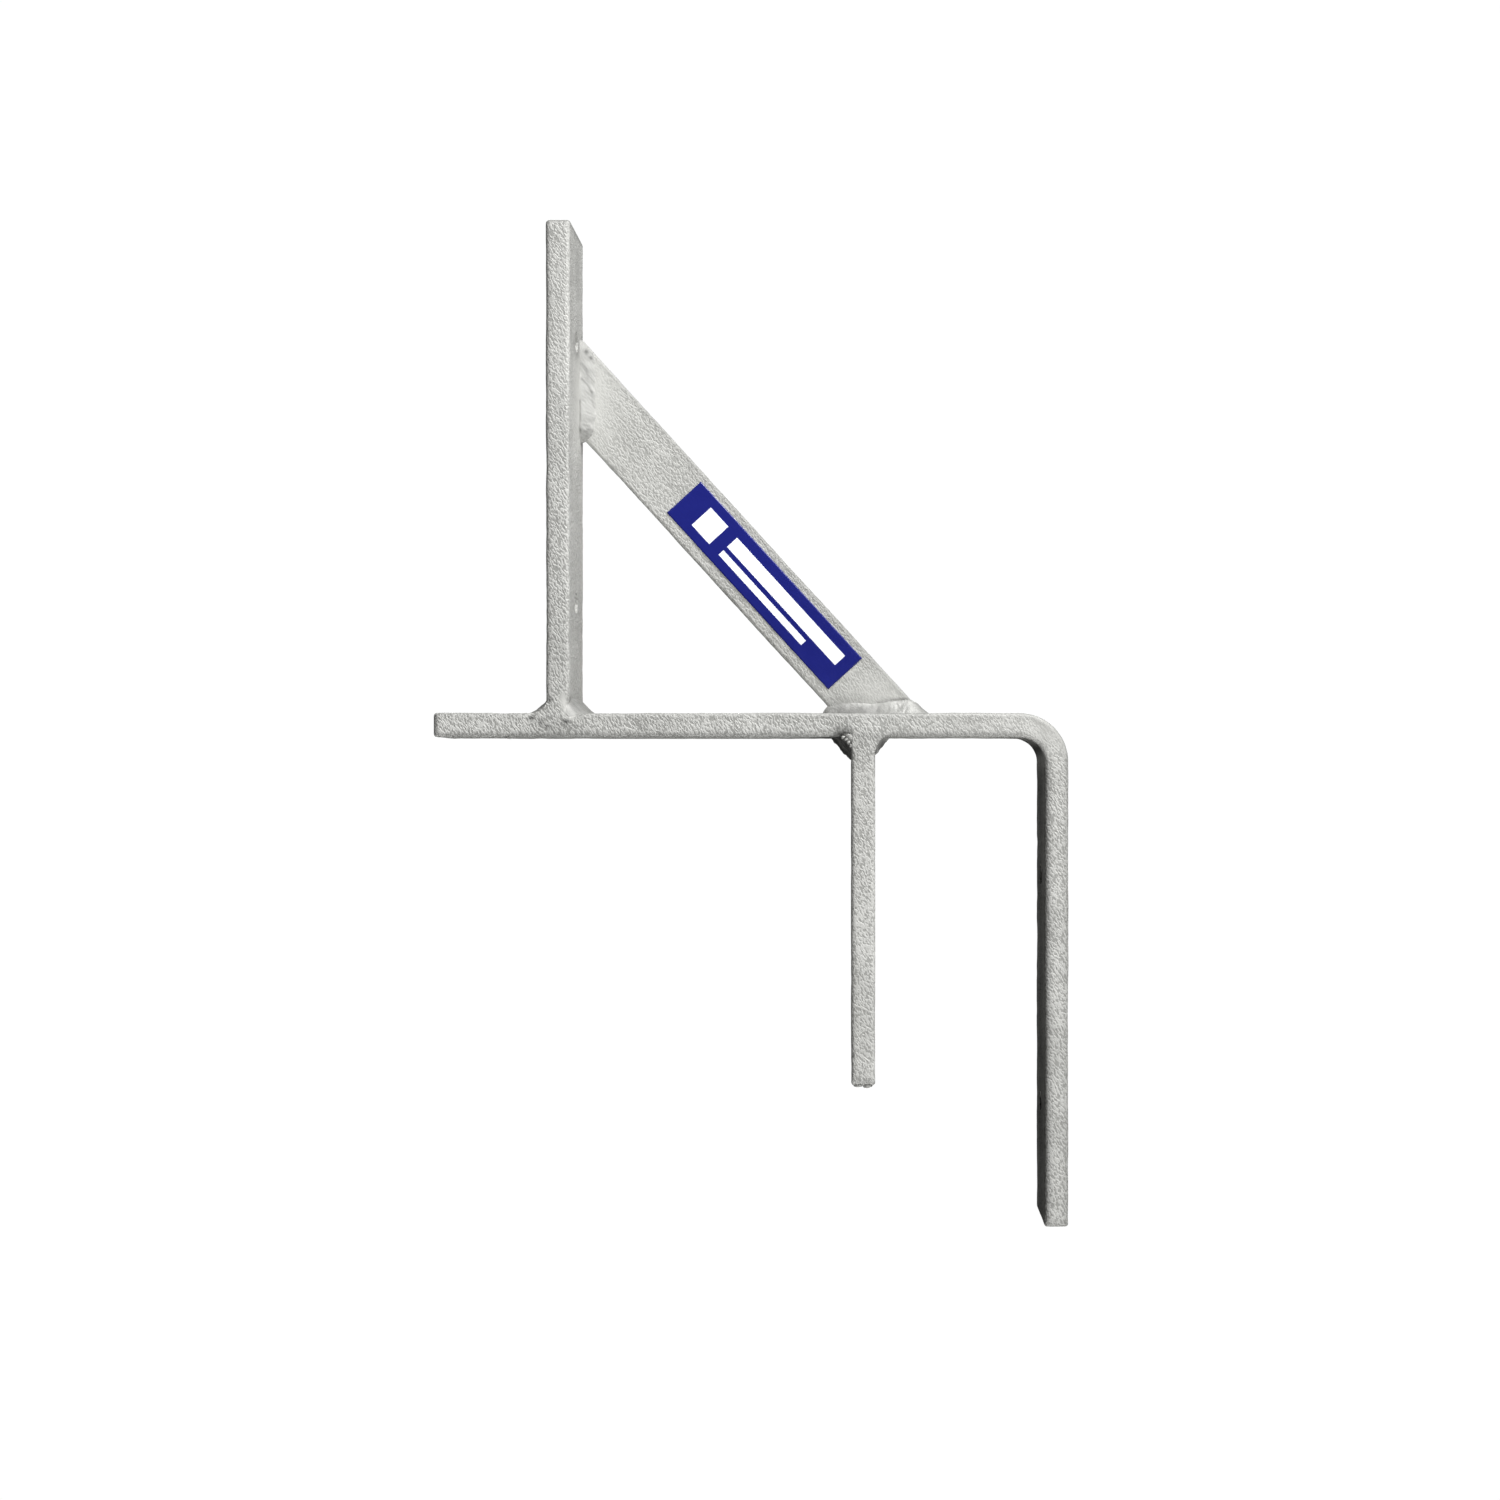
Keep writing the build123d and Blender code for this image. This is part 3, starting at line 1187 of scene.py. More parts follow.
@dataclass
class Sticker:
    """The vinyl sticker on the brace's front face."""

    name: str
    place: BraceFrame
    length: float = 101.7
    width: float = 19.6
    from_head: float = 48.1
    from_edge: float = 5.1
    proud: float = 0.12
    sunk: float = 0.4
    wave_height: float = 0.03
    wave_length: float = 9.0
    seed: int = 77

    def build(self) -> bpy.types.Object:
        """Make the sticker: a sheet that follows the zinc under it, with thin cut edges.

        The front is a grid of steps along and across the brace, with gentle waves. Its border
        drops straight into the brace. Each place carries its own millimetres as UV.

        Returns:
            The sticker, closed.
        """
        along = np.linspace(0.0, self.length, 121)
        across = np.linspace(0.0, self.width, 31)
        grid_u, grid_v = np.meshgrid(along, across, indexing="ij")
        spot = self.place.head + (self.from_head + grid_u)[..., None] * self.place.along
        spot = spot + (self.from_edge + grid_v)[..., None] * self.place.across
        waves = self.wave_height * soft_noise(spot, self.wave_length, self.seed)
        front = spot + np.minimum(waves - self.proud, -0.02)[..., None] * Y_AXIS
        back = spot + self.sunk * Y_AXIS
        patches = Patchwork()
        patches.add_grid(front)
        patches.add_grid(back)
        for edge in (np.s_[0, :], np.s_[-1, :], np.s_[:, 0], np.s_[:, -1]):
            patches.add_grid(np.stack([front[edge], back[edge]], axis=1))
        made = patches.build(self.name)
        layer = made.data.uv_layers.new(name="print")
        spots = np.array([v.co for v in made.data.vertices]) / MM - self.place.head
        flat = np.stack(
            [spots @ self.place.along - self.from_head, spots @ self.place.across - self.from_edge],
            axis=1,
        )
        corners = np.zeros(len(made.data.loops), dtype=np.int64)
        made.data.loops.foreach_get("vertex_index", corners)
        layer.data.foreach_set("uv", flat[corners].ravel())
        return made


# Assembly


# Front edges on which the zinc lies thin and painted shade dulls the highlights, the bent bar's
# round its bend in short lines
BAR_EDGE = (
    (-153.0, -18.9, 10.0),
    *(
        (24.5 + 20.0 * math.sin(turn), -18.9, 20.0 * math.cos(turn) - 10.0)
        for turn in (0.0, 0.25, 0.5, 0.75, 1.0, 1.25, 1.5)
    ),
)
UPRIGHT_END = ((-168.6, -18.7, 211.8), (-160.2, -18.7, 211.8), (-159.8, 17.0, 211.6))
BRACE_EDGE = float(BRACE_LOW[1]) + 0.6
BRACE_UPPER_EDGE = (
    (BRACE_LOW[0], BRACE_EDGE, BRACE_HIGH[2]),
    (BRACE_HIGH[0], BRACE_EDGE, BRACE_LOW[2]),
)


# Where the zinc froze smooth and bright: round the welds, over the bend and on thin edges
SMOOTH_PLACES = (
    Streak(BAR_EDGE, 1.1, 0.5),
    Streak(UPRIGHT_END, 1.1, 0.6),
    Spot((-161.9, -20.0, 15.6), (1.3, 3.0, 2.0), 1.0),
    Spot((-160.4, -20.0, 12.2), (1.5, 3.0, 2.0), 1.0),
    Spot((-158.4, -20.0, 9.0), (1.8, 3.0, 1.5), 1.0),
    Spot((38.0, 0.0, 5.0), (9.0, 60.0, 9.0), 0.7),
    Spot((15.0, 0.0, 5.0), (30.0, 60.0, 10.0), 0.3),
    Spot((-30.0, 14.0, 22.0), (11.0, 6.0, 9.0), 0.6),
    Spot((-164.0, -20.0, 175.0), (10.0, 10.0, 40.0), 0.25),
    Spot((-159.4, 4.0, 196.0), (2.0, 16.0, 16.0), 0.55),
    Spot((-154.0, 14.0, 146.0), (8.0, 6.0, 20.0), 0.75),
    Spot((-159.2, 5.0, 146.0), (4.0, 12.0, 15.0), 0.8),
    Spot((-42.0, 14.0, 17.0), (12.0, 6.0, 5.0), 0.45),
)


# Painted shade and dark marks: painted shadow and shade in the weld corners, hollows and
# crevices, along an undercut beside a toe, on rounded edges to dull their highlights, down the
# upright and the outer leg, and on the outer leg's inner face, which stays in the shade; and
# dark pits, a crack and specks in the welds
PAINTED_SHADE_AND_STAINS = (
    # Painted shade on the upright's foot welds, most on the right bead and in its hollow
    Streak(((-157.8, -15.5, 15.0), (-157.8, 20.0, 15.0)), 1.9, 0.34),
    Streak(((-154.4, -15.5, 11.8), (-154.4, 20.0, 11.8)), 1.9, 0.34),
    Spot((-157.2, -18.0, 12.8), (2.4, 2.6, 3.5), 0.34),
    Spot((-173.0, -17.0, 11.5), (4.0, 3.0, 2.0), 0.2),
    # Painted shadow in the cavity under the inner leg's left weld and in the crater beside it
    Spot((-51.0, -13.0, -6.0), (6.0, 3.4, 7.0), 0.95),
    Spot((-51.0, 3.0, -6.0), (8.0, 13.0, 9.0), 0.96),
    Spot((-48.6, -18.4, 0.6), (1.9, 1.6, 1.4), 0.8),
    # Painted shade on the inner leg's right weld, under the bar
    Streak(((-31.4, -18.5, -3.2), (-31.4, 0.0, -3.2)), 2.0, 0.6),
    # Painted shade over the brace's foot weld, its blunt left end and the lines across it
    Spot((-38.0, 11.0, 12.0), (24.0, 2.6, 4.0), 0.34),
    Spot((-52.0, 11.0, 13.0), (8.0, 5.0, 4.0), 0.24),
    Streak(((-54.9, 10.5, 15.4), (-55.3, 10.0, 11.2)), 0.7, 0.62),
    Spot((-46.0, 10.0, 12.5), (7.0, 5.0, 3.0), 0.14),
    Streak(((-41.6, 13.0, 15.4), (-40.4, 9.0, 10.5)), 1.0, 0.16),
    Streak(((-50.0, 13.0, 15.4), (-48.8, 9.0, 10.5)), 1.2, 0.12),
    # Painted fall of light, darker down the upright's front and at the outer leg's foot
    Spot((-164.0, -20.0, 60.0), (10.0, 30.0, 60.0), 0.06),
    Spot((39.5, -20.0, -210.0), (12.0, 30.0, 60.0), 0.08),
    # Painted shade along the undercut over the foot weld's toe, and on the bar's edge below it
    Streak(((-33.3, 14.0, 15.6), (-20.1, 14.0, 17.1), (-16.7, 13.0, 15.7)), 0.4, 0.5),
    Streak(((-16.7, 13.0, 15.7), (-11.1, 12.0, 11.4)), 0.9, 0.3),
    Streak(((-36.0, -18.8, 9.95), (-14.0, -18.8, 9.95)), 0.5, 0.35),
    # Painted shade on the rounded edges of the bars and the bend, dulling their highlights
    Streak(((-169.3, -20.0, 18.0), (-169.3, -20.0, 206.0)), 1.8, 0.24),
    Streak(((34.6, -20.0, -10.0), (34.6, -20.0, -196.0)), 1.7, 0.48),
    Streak(((-44.5, -20.0, -8.0), (-44.5, -20.0, -138.0)), 1.2, 0.28),
    Streak(((44.5, -20.0, -10.0), (44.5, -20.0, -200.0)), 1.2, 0.45),
    Streak(((-214.0, -19.2, 9.8), (-180.0, -19.2, 9.8)), 1.5, 0.24),
    Streak(BAR_EDGE, 1.4, 0.34),
    Streak(BAR_EDGE[1:], 1.3, 0.12),
    Streak(((-214.0, -20.0, 0.5), (-62.0, -20.0, 0.5)), 1.2, 0.24),
    Streak(((-40.0, -20.0, 0.5), (24.0, -20.0, 0.5)), 1.2, 0.24),
    Streak(UPRIGHT_END, 1.6, 0.55),
    # Painted shade high on the upright's right side
    Spot((-159.4, 4.0, 196.0), (2.0, 16.0, 18.0), 0.15),
    # Small dark spots and two broad darker patches on the front at the upright's foot
    Spot((-174.8, -20.0, 7.8), (0.9, 2.0, 0.7), 0.8),
    Spot((-160.7, -20.0, 6.4), (1.1, 2.0, 0.8), 0.7),
    Spot((-167.3, -20.0, 15.3), (1.0, 2.0, 0.8), 0.7),
    Spot((-171.0, -20.0, 6.1), (0.6, 2.0, 0.9), 0.6),
    Spot((-168.4, -20.0, 4.4), (0.9, 2.0, 0.6), 0.6),
    Spot((-170.0, -20.0, 4.6), (4.0, 3.0, 3.0), 0.14),
    Spot((-160.0, -20.0, 3.5), (8.0, 3.0, 2.5), 0.12),
    # A small dark spot low on the inner leg's front
    Spot((-44.2, -20.0, -130.1), (0.7, 1.5, 0.7), 0.8),
    # Painted shadow on the outer leg's inner face and in the bend's inner corner
    *(Spot((33.6, 0.0, level), (1.5, 19.0, 16.0), 0.86) for level in range(-34, -200, -32)),
    Spot((33.6, 0.0, -17.0), (1.5, 19.0, 7.0), 0.6),
    Streak(((32.8, -14.0, -4.8), (32.8, 20.0, -4.8)), 2.6, 0.85),
    Streak(((29.5, -10.0, -1.3), (29.5, 20.0, -1.3)), 2.2, 0.5),
    # Painted shade along the brace's upper edge, dulling its highlight
    Streak(BRACE_UPPER_EDGE, 1.2, 0.45),
    # Pits, a crack and specks in the head weld; painted shade over its lower end and crease
    Spot((-156.7, 10.4, 164.1), (0.7, 2.0, 0.8), 0.85),
    Spot((-155.0, 11.9, 161.8), (0.5, 2.0, 0.6), 0.7),
    Streak(((-158.4, 10.0, 152.2), (-156.4, 11.6, 150.4), (-154.8, 13.0, 147.2)), 0.5, 0.42),
    Streak(((-154.8, 13.0, 147.2), (-154.0, 13.6, 141.0)), 0.5, 0.16),
    Streak(((-158.6, 9.8, 158.9), (-157.0, 11.2, 156.6), (-156.2, 11.8, 153.6)), 0.5, 0.24),
    Streak(((-159.4, 9.2, 142.9), (-159.4, 9.2, 132.3)), 0.5, 0.5),
    Spot((-156.4, 10.5, 129.0), (2.6, 3.0, 1.8), 0.34),
    Streak(((-159.3, 9.5, 127.6), (-156.5, 11.5, 127.4), (-154.0, 13.2, 125.6)), 0.5, 0.6),
    Spot((-159.3, 9.5, 130.7), (0.6, 1.5, 0.8), 0.6),
    Spot((-156.3, 10.5, 131.5), (0.7, 1.5, 0.6), 0.6),
    # Painted shade on the lower rim of the upright's upper hole, dulling its glint
    Spot((-159.4, 0.0, 162.5), (1.2, 5.0, 2.5), 0.4),
)


def paint(
    made: bpy.types.Object,
    grain: float,
    edge_grain: float | None = None,
    shade_and_stains: Sequence[Spot | Streak] = PAINTED_SHADE_AND_STAINS,
) -> None:
    """Give each vertex the coarseness of its zinc and its painted shade and dark marks.

    The coarseness is the piece's own, blended into that of its front and back edges by a bell
    curve of the gap to them, times what each smooth place leaves of it. The painted shade and
    dark marking is what all the dark places together take away.

    Args:
        made: The piece.
        grain: Its coarseness away from the spots, from 0 to 1.
        edge_grain: Its coarseness in line with the bars' edges, where that is another.
        shade_and_stains: The dark places that may lie on it.
    """
    points = np.zeros(len(made.data.vertices) * 3)
    made.data.vertices.foreach_get("co", points)
    points = points.reshape(-1, 3) / MM
    left = np.full(len(points), grain)
    if edge_grain is not None:
        gap = BAR_WIDTH / 2 - np.abs(points[:, 1])
        left += (edge_grain - grain) * np.exp(-((gap / EDGE_BLEND) ** 2))
    for place in SMOOTH_PLACES:
        left *= 1.0 - place.at(points)
    # How much of each vertex the painted shade and dark marks leave untouched
    unmarked = np.ones(len(points))
    for place in shade_and_stains:
        unmarked *= 1.0 - place.at(points)
    for name, values in (("grain", left), ("painted_shade_and_stain", 1.0 - unmarked)):
        layer = made.data.attributes.new(name, "FLOAT", "POINT")
        layer.data.foreach_set("value", values.astype(np.float32))


def dress(
    made: bpy.types.Object,
    finish: bpy.types.Material,
    slot: Slot,
    nodes: Iterable[str],
) -> None:
    """Give a piece its finish and its body, and hide the frame's nodes that it stands for.

    Args:
        made: The piece.
        finish: Its material.
        slot: Not used.
        nodes: The nodes that it replaces.
    """
    made.data.materials.append(finish)
    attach(made, BODY)
    if nodes:
        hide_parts(*nodes)
    size = [round(side / MM, 1) for side in made.dimensions]
    LOG.info("%s: %d faces, %s mm", made.name, len(made.data.polygons), size)


@dataclass
class Bars:
    """The bent bar, the upright and the inner leg, all of one size of flat bar.

    The fine stretches are distances along the bent bar, beside the upright's foot and the
    inner leg's head, and how far from its joint each straight bar has close rows.
    """

    section: BarSection = BarSection(BAR_WIDTH, BAR_THICK, EDGE_ROUND)
    fine_by_upright: tuple[float, float] = (40.0, 62.0)
    fine_by_leg: tuple[float, float] = (162.0, 188.0)
    fine_from_joint: float = 14.0
    made: dict[str, bpy.types.Object] = field(default_factory=dict)

    def build(self) -> None:
        """Make the three bars where the frame has them."""
        middle = BAR_TOP - BAR_THICK / 2
        bend = BAR_HIGH[0] - BAR_THICK / 2 - BEND_MIDDLE_RADIUS
        level = float(bend - BAR_LOW[0])
        bend_length = BEND_MIDDLE_RADIUS * math.pi / 2
        down = float(middle - BEND_MIDDLE_RADIUS - BAR_LOW[2])
        before_leg = level + bend_length + middle - BEND_MIDDLE_RADIUS
        bent = FlatBar(
            "bar_bent",
            BentPath(
                np.array([BAR_LOW[0], 0.0, middle]),
                level,
                BEND_MIDDLE_RADIUS,
                level + bend_length + down,
            ),
            self.section,
            holes=[before_leg - hole for hole in LEG_HOLES],
            free_start=True,
            fine=(self.fine_by_upright, self.fine_by_leg),
        )
        upright_middle = float(UPRIGHT_LOW[0] + UPRIGHT_HIGH[0]) / 2
        upright = FlatBar(
            "bar_upright",
            StraightPath(
                np.array([upright_middle, 0.0, BAR_TOP - JOINT_DEPTH]),
                Z_AXIS,
                float(UPRIGHT_HIGH[2]) - BAR_TOP + JOINT_DEPTH,
                Y_AXIS,
                X_AXIS,
            ),
            self.section,
            holes=[hole - BAR_TOP + JOINT_DEPTH for hole in UPRIGHT_HOLES],
            fine=((JOINT_DEPTH, self.fine_from_joint),),
        )
        leg_middle = float(LEG_LOW[0] + LEG_HIGH[0]) / 2
        leg = FlatBar(
            "bar_inner_leg",
            StraightPath(
                np.array([leg_middle, 0.0, float(LEG_HIGH[2]) + JOINT_DEPTH]),
                -Z_AXIS,
                float(LEG_HIGH[2] - LEG_LOW[2]) + JOINT_DEPTH,
                Y_AXIS,
                X_AXIS,
            ),
            self.section,
            fine=((JOINT_DEPTH, self.fine_from_joint),),
        )
        for bar in (bent, upright, leg):
            self.made[bar.name] = bar.build()

    def dress(self, finish: bpy.types.Material) -> None:
        """Give the bars their zinc.

        Args:
            finish: The zinc on rolled bar.
        """
        nodes = {"bar_bent": "bent_bar", "bar_upright": "upright_bar", "bar_inner_leg": "inner_leg"}
        for name, made in self.made.items():
            paint(made, BAR_GRAIN)
            dress(made, finish, Slot.BAR, [nodes[name]])


@dataclass
class BraceWork:
    """The diagonal brace with its sticker."""

    section: BarSection = BarSection(BRACE_WIDTH, float(BRACE_HIGH[1] - BRACE_LOW[1]), BRACE_ROUND)
    brace: bpy.types.Object | None = None
    sticker: bpy.types.Object | None = None

    def build(self) -> None:
        """Make the brace and the sticker on it."""
        place = BraceFrame.from_box(BRACE_LOW, BRACE_HIGH, BRACE_WIDTH)
        self.brace = Brace("brace", place, self.section, BAR_TOP).build()
        self.sticker = Sticker("sticker", place).build()

    def dress(self, finish: bpy.types.Material, print_finish: bpy.types.Material) -> None:
        """Give the brace its zinc and the sticker its print.

        Args:
            finish: The zinc on the brace.
            print_finish: The printed vinyl.
        """
        paint(self.brace, BRACE_GRAIN)
        dress(self.brace, finish, Slot.BRACE, ["diagonal_brace"])
        dress(self.sticker, print_finish, Slot.PRINT, ["brace_label"])


@dataclass
class Welds:
    """The fillet welds of both tee joints and the brace, and the metal level with the edges."""

    front_gap: float = 0.5
    right_foot_sunk: tuple[float, float] = (3.2, 2.6)
    head_below: float = 2.6
    sunk: float = 0.3
    foot_left: float = -57.1
    made: dict[str, tuple[bpy.types.Object, tuple[str, ...]]] = field(default_factory=dict)

    def crosswise(
        self,
        node: str,
        corner: tuple[float, float],
        signs: tuple[float, float],
        knots: Sequence[tuple[float, float, float]],
        **more: float,
    ) -> None:
        """Make a bead that runs across the bars' width, front to back.

        Args:
            node: The frame's node that it stands for.
            corner: The corner's X and Z.
            signs: Which way the legs go along X and Z.
            knots: Rows of the distance from the front and both legs.
            more: Further fields of the bead.
        """
        start = np.array([corner[0], FRONT + self.front_gap, corner[1]])
        bead = WeldBead(
            f"bead_{node}", start, Y_AXIS, signs[0] * X_AXIS, signs[1] * Z_AXIS, knots, **more
        )
        self.made[bead.name] = (bead.build(), (node,))

    def add_tee_beads(self) -> None:
        """Make the four beads of the upright's foot and the inner leg's head.

        Their front ends start small, as they were washed back from the edge, and grow to the
        full size further in. The inner leg's left bead grows all the way to the back. The
        upright's right bead is a wide one whose corner lies sunk in both bars.
        """
        left, right = float(UPRIGHT_LOW[0]), float(UPRIGHT_HIGH[0])
        last = BAR_WIDTH - 2.0 * self.front_gap
        self.crosswise(
            "upright_weld_left",
            (left, BAR_TOP),
            (-1.0, 1.0),
            [
                (0, 0.8, 2.0), (0.8, 3.4, 4.0), (2, 5.4, 4.6), (5, 7.2, 5.0), (12, 8.0, 5.2),
                (37, 8.2, 5.2), (last, 7.4, 4.6),
            ],
            hollow=(0.86, 0.86),
            seed=51,
        )
        self.crosswise(
            "upright_weld_right",
            (right - self.right_foot_sunk[0], BAR_TOP - self.right_foot_sunk[1]),
            (1.0, 1.0),
            [
                (0, 3.6, 5.6), (0.6, 5.6, 7.6), (1.8, 7.8, 9.6), (4, 10.4, 11.2), (8, 12, 12),
                (37, 12, 12), (last, 11, 11),
            ],
            hollow=(0.96, 0.96),
            seed=55,
        )
        left, right, level = float(LEG_LOW[0]), float(LEG_HIGH[0]), float(LEG_HIGH[2])
        self.crosswise(
            "inner_leg_weld_left",
            (left, level),
            (-1.0, -1.0),
            [
                (0, 1.0, 1.2), (0.8, 2.6, 3.0), (2, 3.6, 4.2), (5, 4.6, 5.6), (12, 6.0, 7.0),
                (30, 8.4, 9.2), (last, 8.8, 9.4),
            ],
            hollow=(0.98, 0.98),
            lump_height=0.3,
            crumb_height=0.5,
            wander=0.3,
            seed=61,
        )
        self.crosswise(
            "inner_leg_weld_right",
            (right, level),
            (1.0, -1.0),
            [
                (0, 1.2, 1.8), (1, 3.0, 4.0), (3, 4.4, 5.4), (10, 5.4, 6.4), (37, 5.6, 6.6),
                (last, 5.0, 5.8),
            ],
            lump_height=0.2,
            seed=66,
        )

    def add_brace_beads(self) -> None:
        """Make the beads at the brace's head and foot.

        The head's lower end is blunt and its top follows the brace's upper edge. The foot's
        left end is blunt, and its right end runs out along the bar.
        """
        brace_front = float(BRACE_LOW[1])
        slope = float((BRACE_HIGH[2] - BRACE_LOW[2]) / (BRACE_HIGH[0] - BRACE_LOW[0]))
        low = float(BRACE_HIGH[2]) - BRACE_WIDTH / math.cos(math.atan(slope)) - self.head_below
        head = WeldBead(
            "bead_brace_head_weld",
            np.array([float(UPRIGHT_HIGH[0]) - self.sunk, brace_front + self.sunk, low]),
            Z_AXIS,
            X_AXIS,
            -Y_AXIS,
            [
                (0, 0.0, 0.0), (0.8, 2.6, 2.0), (3, 4.7, 3.7), (6, 5.8, 4.7), (12, 6.3, 5.2),
                (36, 6.2, 5.1), (41, 5.8, 4.6), (43.6, 4.6, 3.2),
            ],
            hollow=(1.0, 1.0),
            leans=(0.15, -slope),
            ripple_height=0.012,
            lump_height=0.07,
            crumb_height=0.4,
            seed=71,
        )
        self.made[head.name] = (head.build(), ("brace_head_weld",))
        foot = WeldBead(
            "bead_brace_foot_weld",
            np.array([self.foot_left, brace_front + self.sunk, BAR_TOP]),
            X_AXIS,
            -Y_AXIS,
            Z_AXIS,
            [
                (0, 0.0, 0.0), (0.8, 2.6, 2.2), (2.8, 4.4, 4.6), (8, 5.4, 5.2), (20, 6.0, 5.5),
                (30, 6.2, 6.3), (37.4, 6.2, 7.0), (40.6, 6.0, 5.5), (43, 5.0, 2.9),
                (45.5, 3.4, 0.9), (46.4, 2.2, 0.3),
            ],
            hollow=(0.62, 1.14),
            ripple_height=0.015,
            wander=0.3,
            seed=75,
        )
        self.made[foot.name] = (foot.build(), ("brace_foot_weld",))

    def add_patches(self) -> None:
        """Make the level metal at the tee joints' front and back, and the loose lumps of zinc.

        The drops hang under the bar and at the inner leg's lower end. The crumbs sit on the
        left weld under the bar, near its front.
        """
        foot_left, foot_right = float(UPRIGHT_LOW[0]), float(UPRIGHT_HIGH[0])
        head_left, head_right = float(LEG_LOW[0]), float(LEG_HIGH[0])
        standing = [
            (foot_left - 6.2, 6.4, 9.2, 0.8), (foot_left - 4.2, 6.2, 9.9, 0.8),
            (foot_left - 1.0, 6.0, 11.8, 0.8), (foot_left + 0.4, 6.0, 14.2, 0.6),
            (foot_left + 1.2, 6.0, 15.6, 0.06), (foot_right - 4.4, 6.0, 15.8, 0.06),
            (foot_right - 3.4, 6.0, 14.0, 0.06), (foot_right - 2.6, 6.0, 11.2, 0.1),
            (foot_right - 1.4, 6.0, 8.8, 0.2), (foot_right + 1.0, 5.8, 7.2, 0.2),
            (foot_right + 2.6, 5.6, 6.4, 0.1),
        ]
        hanging = [
            (head_left + 0.5, 3.4, -4.6, 0.2), (head_left + 1.6, 4.2, -6.4, 0.06),
            (head_right - 0.6, 4.4, -6.6, 0.06), (head_right + 0.3, 4.4, -5.2, 0.5),
            (head_right + 0.8, 4.4, -3.5, 0.6), (head_right + 1.7, 4.3, -1.9, 0.6),
            (head_right + 2.8, 4.2, -0.8, 0.6), (head_right + 4.0, 4.0, 0.0, 0.6),
            (head_right + 5.4, 3.6, 0.9, 0.5),
        ]
        for node, knots in (("upright_weld", standing), ("inner_leg_weld", hanging)):
            for side in Side:
                word = side.name.lower()
                patch = FlushPatch(f"patch_{node}_{word}", side, knots)
                self.made[patch.name] = (patch.build(), (f"{node}_{word}",))
        low = float(LEG_LOW[2])
        drip = ZincLumps(
            "zinc_drip",
            [
                ((-183.0, -18.6, 0.25), (2.4, 1.0, 1.0)),
                ((head_right - 3.0, -17.6, low + 0.2), (1.9, 1.6, 0.9)),
                ((head_right - 6.6, -17.4, low + 0.5), (2.2, 1.7, 0.8)),
            ],
        )
        crumbs = ZincLumps(
            "zinc_crumbs",
            [
                ((-47.6, -18.6, 0.0), (0.8, 0.6, 0.6)), ((-46.3, -18.9, -0.9), (0.8, 0.6, 0.5)),
                ((-45.5, -18.8, 0.8), (0.7, 0.6, 0.6)), ((-45.3, -19.0, -2.0), (0.7, 0.6, 0.6)),
                ((-44.4, -19.0, -3.4), (0.6, 0.6, 0.8)), ((-44.3, -19.1, -0.6), (0.6, 0.5, 0.7)),
            ],
        )
        for lumps in (drip, crumbs):
            self.made[lumps.name] = (lumps.build(), ())

    def build(self) -> None:
        """Make every bead, patch and lump."""
        self.add_tee_beads()
        self.add_brace_beads()
        self.add_patches()

    def dress(self, finish: bpy.types.Material, bar_finish: bpy.types.Material) -> None:
        """Give the beads their zinc, and the level metal the bars' own.

        Args:
            finish: The zinc on weld metal.
            bar_finish: The zinc on rolled bar.
        """
        for made, nodes in self.made.values():
            level = made.name.startswith("patch")
            if level:
                paint(made, BAR_GRAIN)
            elif made.name == "zinc_crumbs":
                paint(made, CRUMB_GRAIN, shade_and_stains=())
            else:
                paint(made, BEAD_GRAIN, BAR_GRAIN)
            dress(made, bar_finish if level else finish, Slot.WELD, nodes)


# Studio


@dataclass(frozen=True)
class Lamp:
    """A round soft lamp: the way to it, how far and wide it is, and its power in watts."""

    name: str
    way: tuple[float, float, float]
    distance: float
    width: float
    power: float
    mirrored: bool = True


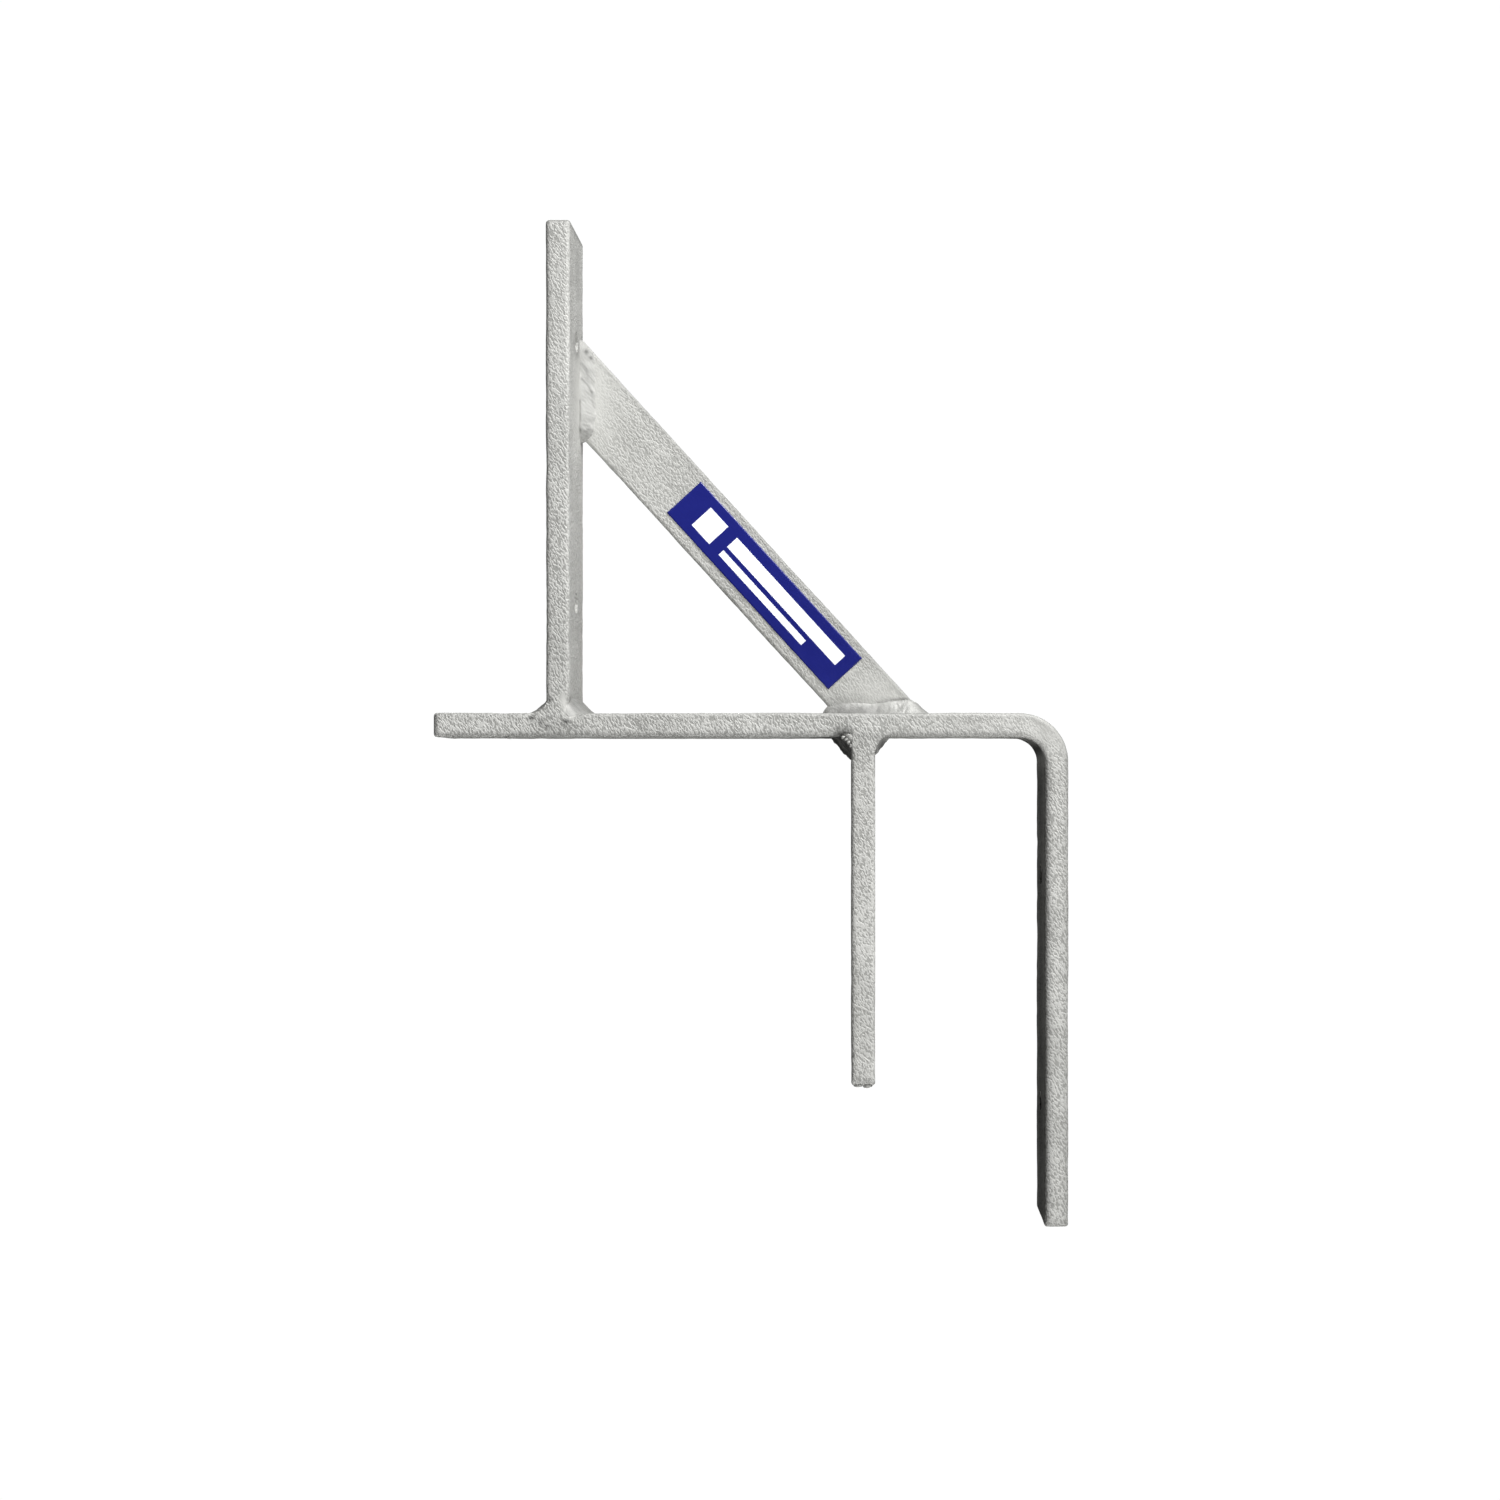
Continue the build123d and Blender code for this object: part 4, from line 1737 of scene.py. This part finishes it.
@dataclass
class Studio:
    """A plain white room with six soft lamps, and the camera at the picture's angle."""

    camera_place: tuple[float, float, float] = (-37.1, -822.0, -17.5)
    lens: float = 47.2
    shift: tuple[float, float] = (-0.0793, 0.02)
    lamps: Sequence[Lamp] = (
        Lamp("key", (0.37, -0.29, 0.87), 1700.0, 600.0, 54.0),
        Lamp("fill", (0.24, -1.0, -0.04), 1900.0, 400.0, 32.0, False),
        Lamp("bounce", (0.5, -0.45, -0.74), 1500.0, 500.0, 13.0, False),
        Lamp("under", (0.0, 0.15, -1.0), 1500.0, 600.0, 6.0, False),
        Lamp("return", (-0.6, -0.35, -0.72), 1500.0, 500.0, 4.4, False),
        Lamp("back", (-0.03, 1.0, 0.12), 1900.0, 400.0, 43.0, False),
    )
    aim: tuple[float, float, float] = (-85.0, 0.0, 5.0)
    ambient: float = 0.02
    paper_glow: float = 1.02
    floor_level: float = -620.0
    room_radius: float = 4000.0
    room_corner: float = 1200.0

    def add_camera(self) -> None:
        """Place the camera, level and looking straight back."""
        data = bpy.data.cameras.new("camera")
        data.lens = self.lens
        data.sensor_width = SENSOR_WIDTH
        data.shift_x, data.shift_y = self.shift
        data.clip_start, data.clip_end = 0.01, 20.0
        camera = bpy.data.objects.new("camera", data)
        camera.location = Vector(self.camera_place) * MM
        camera.rotation_euler = (math.pi / 2, 0.0, 0.0)
        bpy.context.scene.collection.objects.link(camera)
        bpy.context.scene.camera = camera

    def add_lamps(self) -> None:
        """Place the lamps, each facing the bracket."""
        middle = Vector(self.aim)
        for lamp in self.lamps:
            data = bpy.data.lights.new(lamp.name, "AREA")
            data.shape = "DISK"
            data.size = lamp.width * MM
            data.energy = lamp.power
            made = bpy.data.objects.new(lamp.name, data)
            way = Vector(lamp.way).normalized()
            made.location = (middle + way * lamp.distance) * MM
            made.rotation_euler = way.to_track_quat("Z", "Y").to_euler()
            made.visible_camera = False
            made.visible_glossy = lamp.mirrored
            bpy.context.scene.collection.objects.link(made)

    def add_world(self) -> None:
        """Give the world a faint even light."""
        world = bpy.data.worlds.new("room")
        world.use_nodes = True
        world.node_tree.nodes.clear()
        sockets = {"Color": WHITE, "Strength": self.ambient}
        close_tree(world.node_tree, "ShaderNodeBackground", sockets, "ShaderNodeOutputWorld")
        bpy.context.scene.world = world

    def add_backdrop(self) -> None:
        """Make the white floor and wall in one piece.

        The surface is a profile turned about Z: a flat floor, a quarter circle up from it and
        a quarter circle that closes overhead.
        """
        corner = self.room_corner
        floor = np.linspace(0.0, self.room_radius - corner, 13)
        bend = np.linspace(0.0, math.pi / 2, 13)[1:]
        dome = np.linspace(0.0, math.pi / 2, 25)[1:]
        rounding = floor[-1] + corner * np.sin(bend)
        out = np.concatenate([floor, rounding, self.room_radius * np.cos(dome)])
        up = np.concatenate(
            [0.0 * floor, corner * (1.0 - np.cos(bend)), corner + self.room_radius * np.sin(dome)]
        )
        turn = np.linspace(0.0, 2.0 * math.pi, 65)
        shape = np.ones((1, len(turn)))
        grid = np.stack(
            [
                out[:, None] * np.cos(turn),
                out[:, None] * np.sin(turn),
                (up + self.floor_level)[:, None] * shape,
            ],
            axis=-1,
        )
        patches = Patchwork()
        patches.add_grid(grid)
        room = patches.build("backdrop")
        paper = empty_material("white_paper")
        sockets = {"Color": WHITE, "Strength": self.paper_glow}
        close_tree(paper.node_tree, "ShaderNodeEmission", sockets)
        room.data.materials.append(paper)
        room.visible_diffuse = False
        room.visible_glossy = False
        room.visible_shadow = False

    def build(self) -> None:
        """Set up the camera, the lamps, the world and the backdrop."""
        bpy.context.scene.view_settings.view_transform = "Standard"
        self.add_camera()
        self.add_lamps()
        self.add_world()
        self.add_backdrop()


def main() -> None:
    """Build and dress the bracket, then the studio."""
    logging.basicConfig(level=logging.INFO)
    zinc = Galvanised("zinc_on_bar").build()
    brace_zinc = Galvanised("zinc_on_brace", light="B8B8B5", dark="888885", bright="C0C0BC").build()
    weld_zinc = Galvanised(
        "zinc_on_weld", light="A5A5A2", dark="8C8C89", bright="A6A6A3", roughness=0.56
    ).build()
    bars = Bars()
    bars.build()
    bars.dress(zinc)
    brace = BraceWork()
    brace.build()
    brace.dress(brace_zinc, VinylPrint("blue_vinyl").build())
    welds = Welds()
    welds.build()
    welds.dress(weld_zinc, zinc)
    Studio().build()


if __name__ == "__main__":
    main()
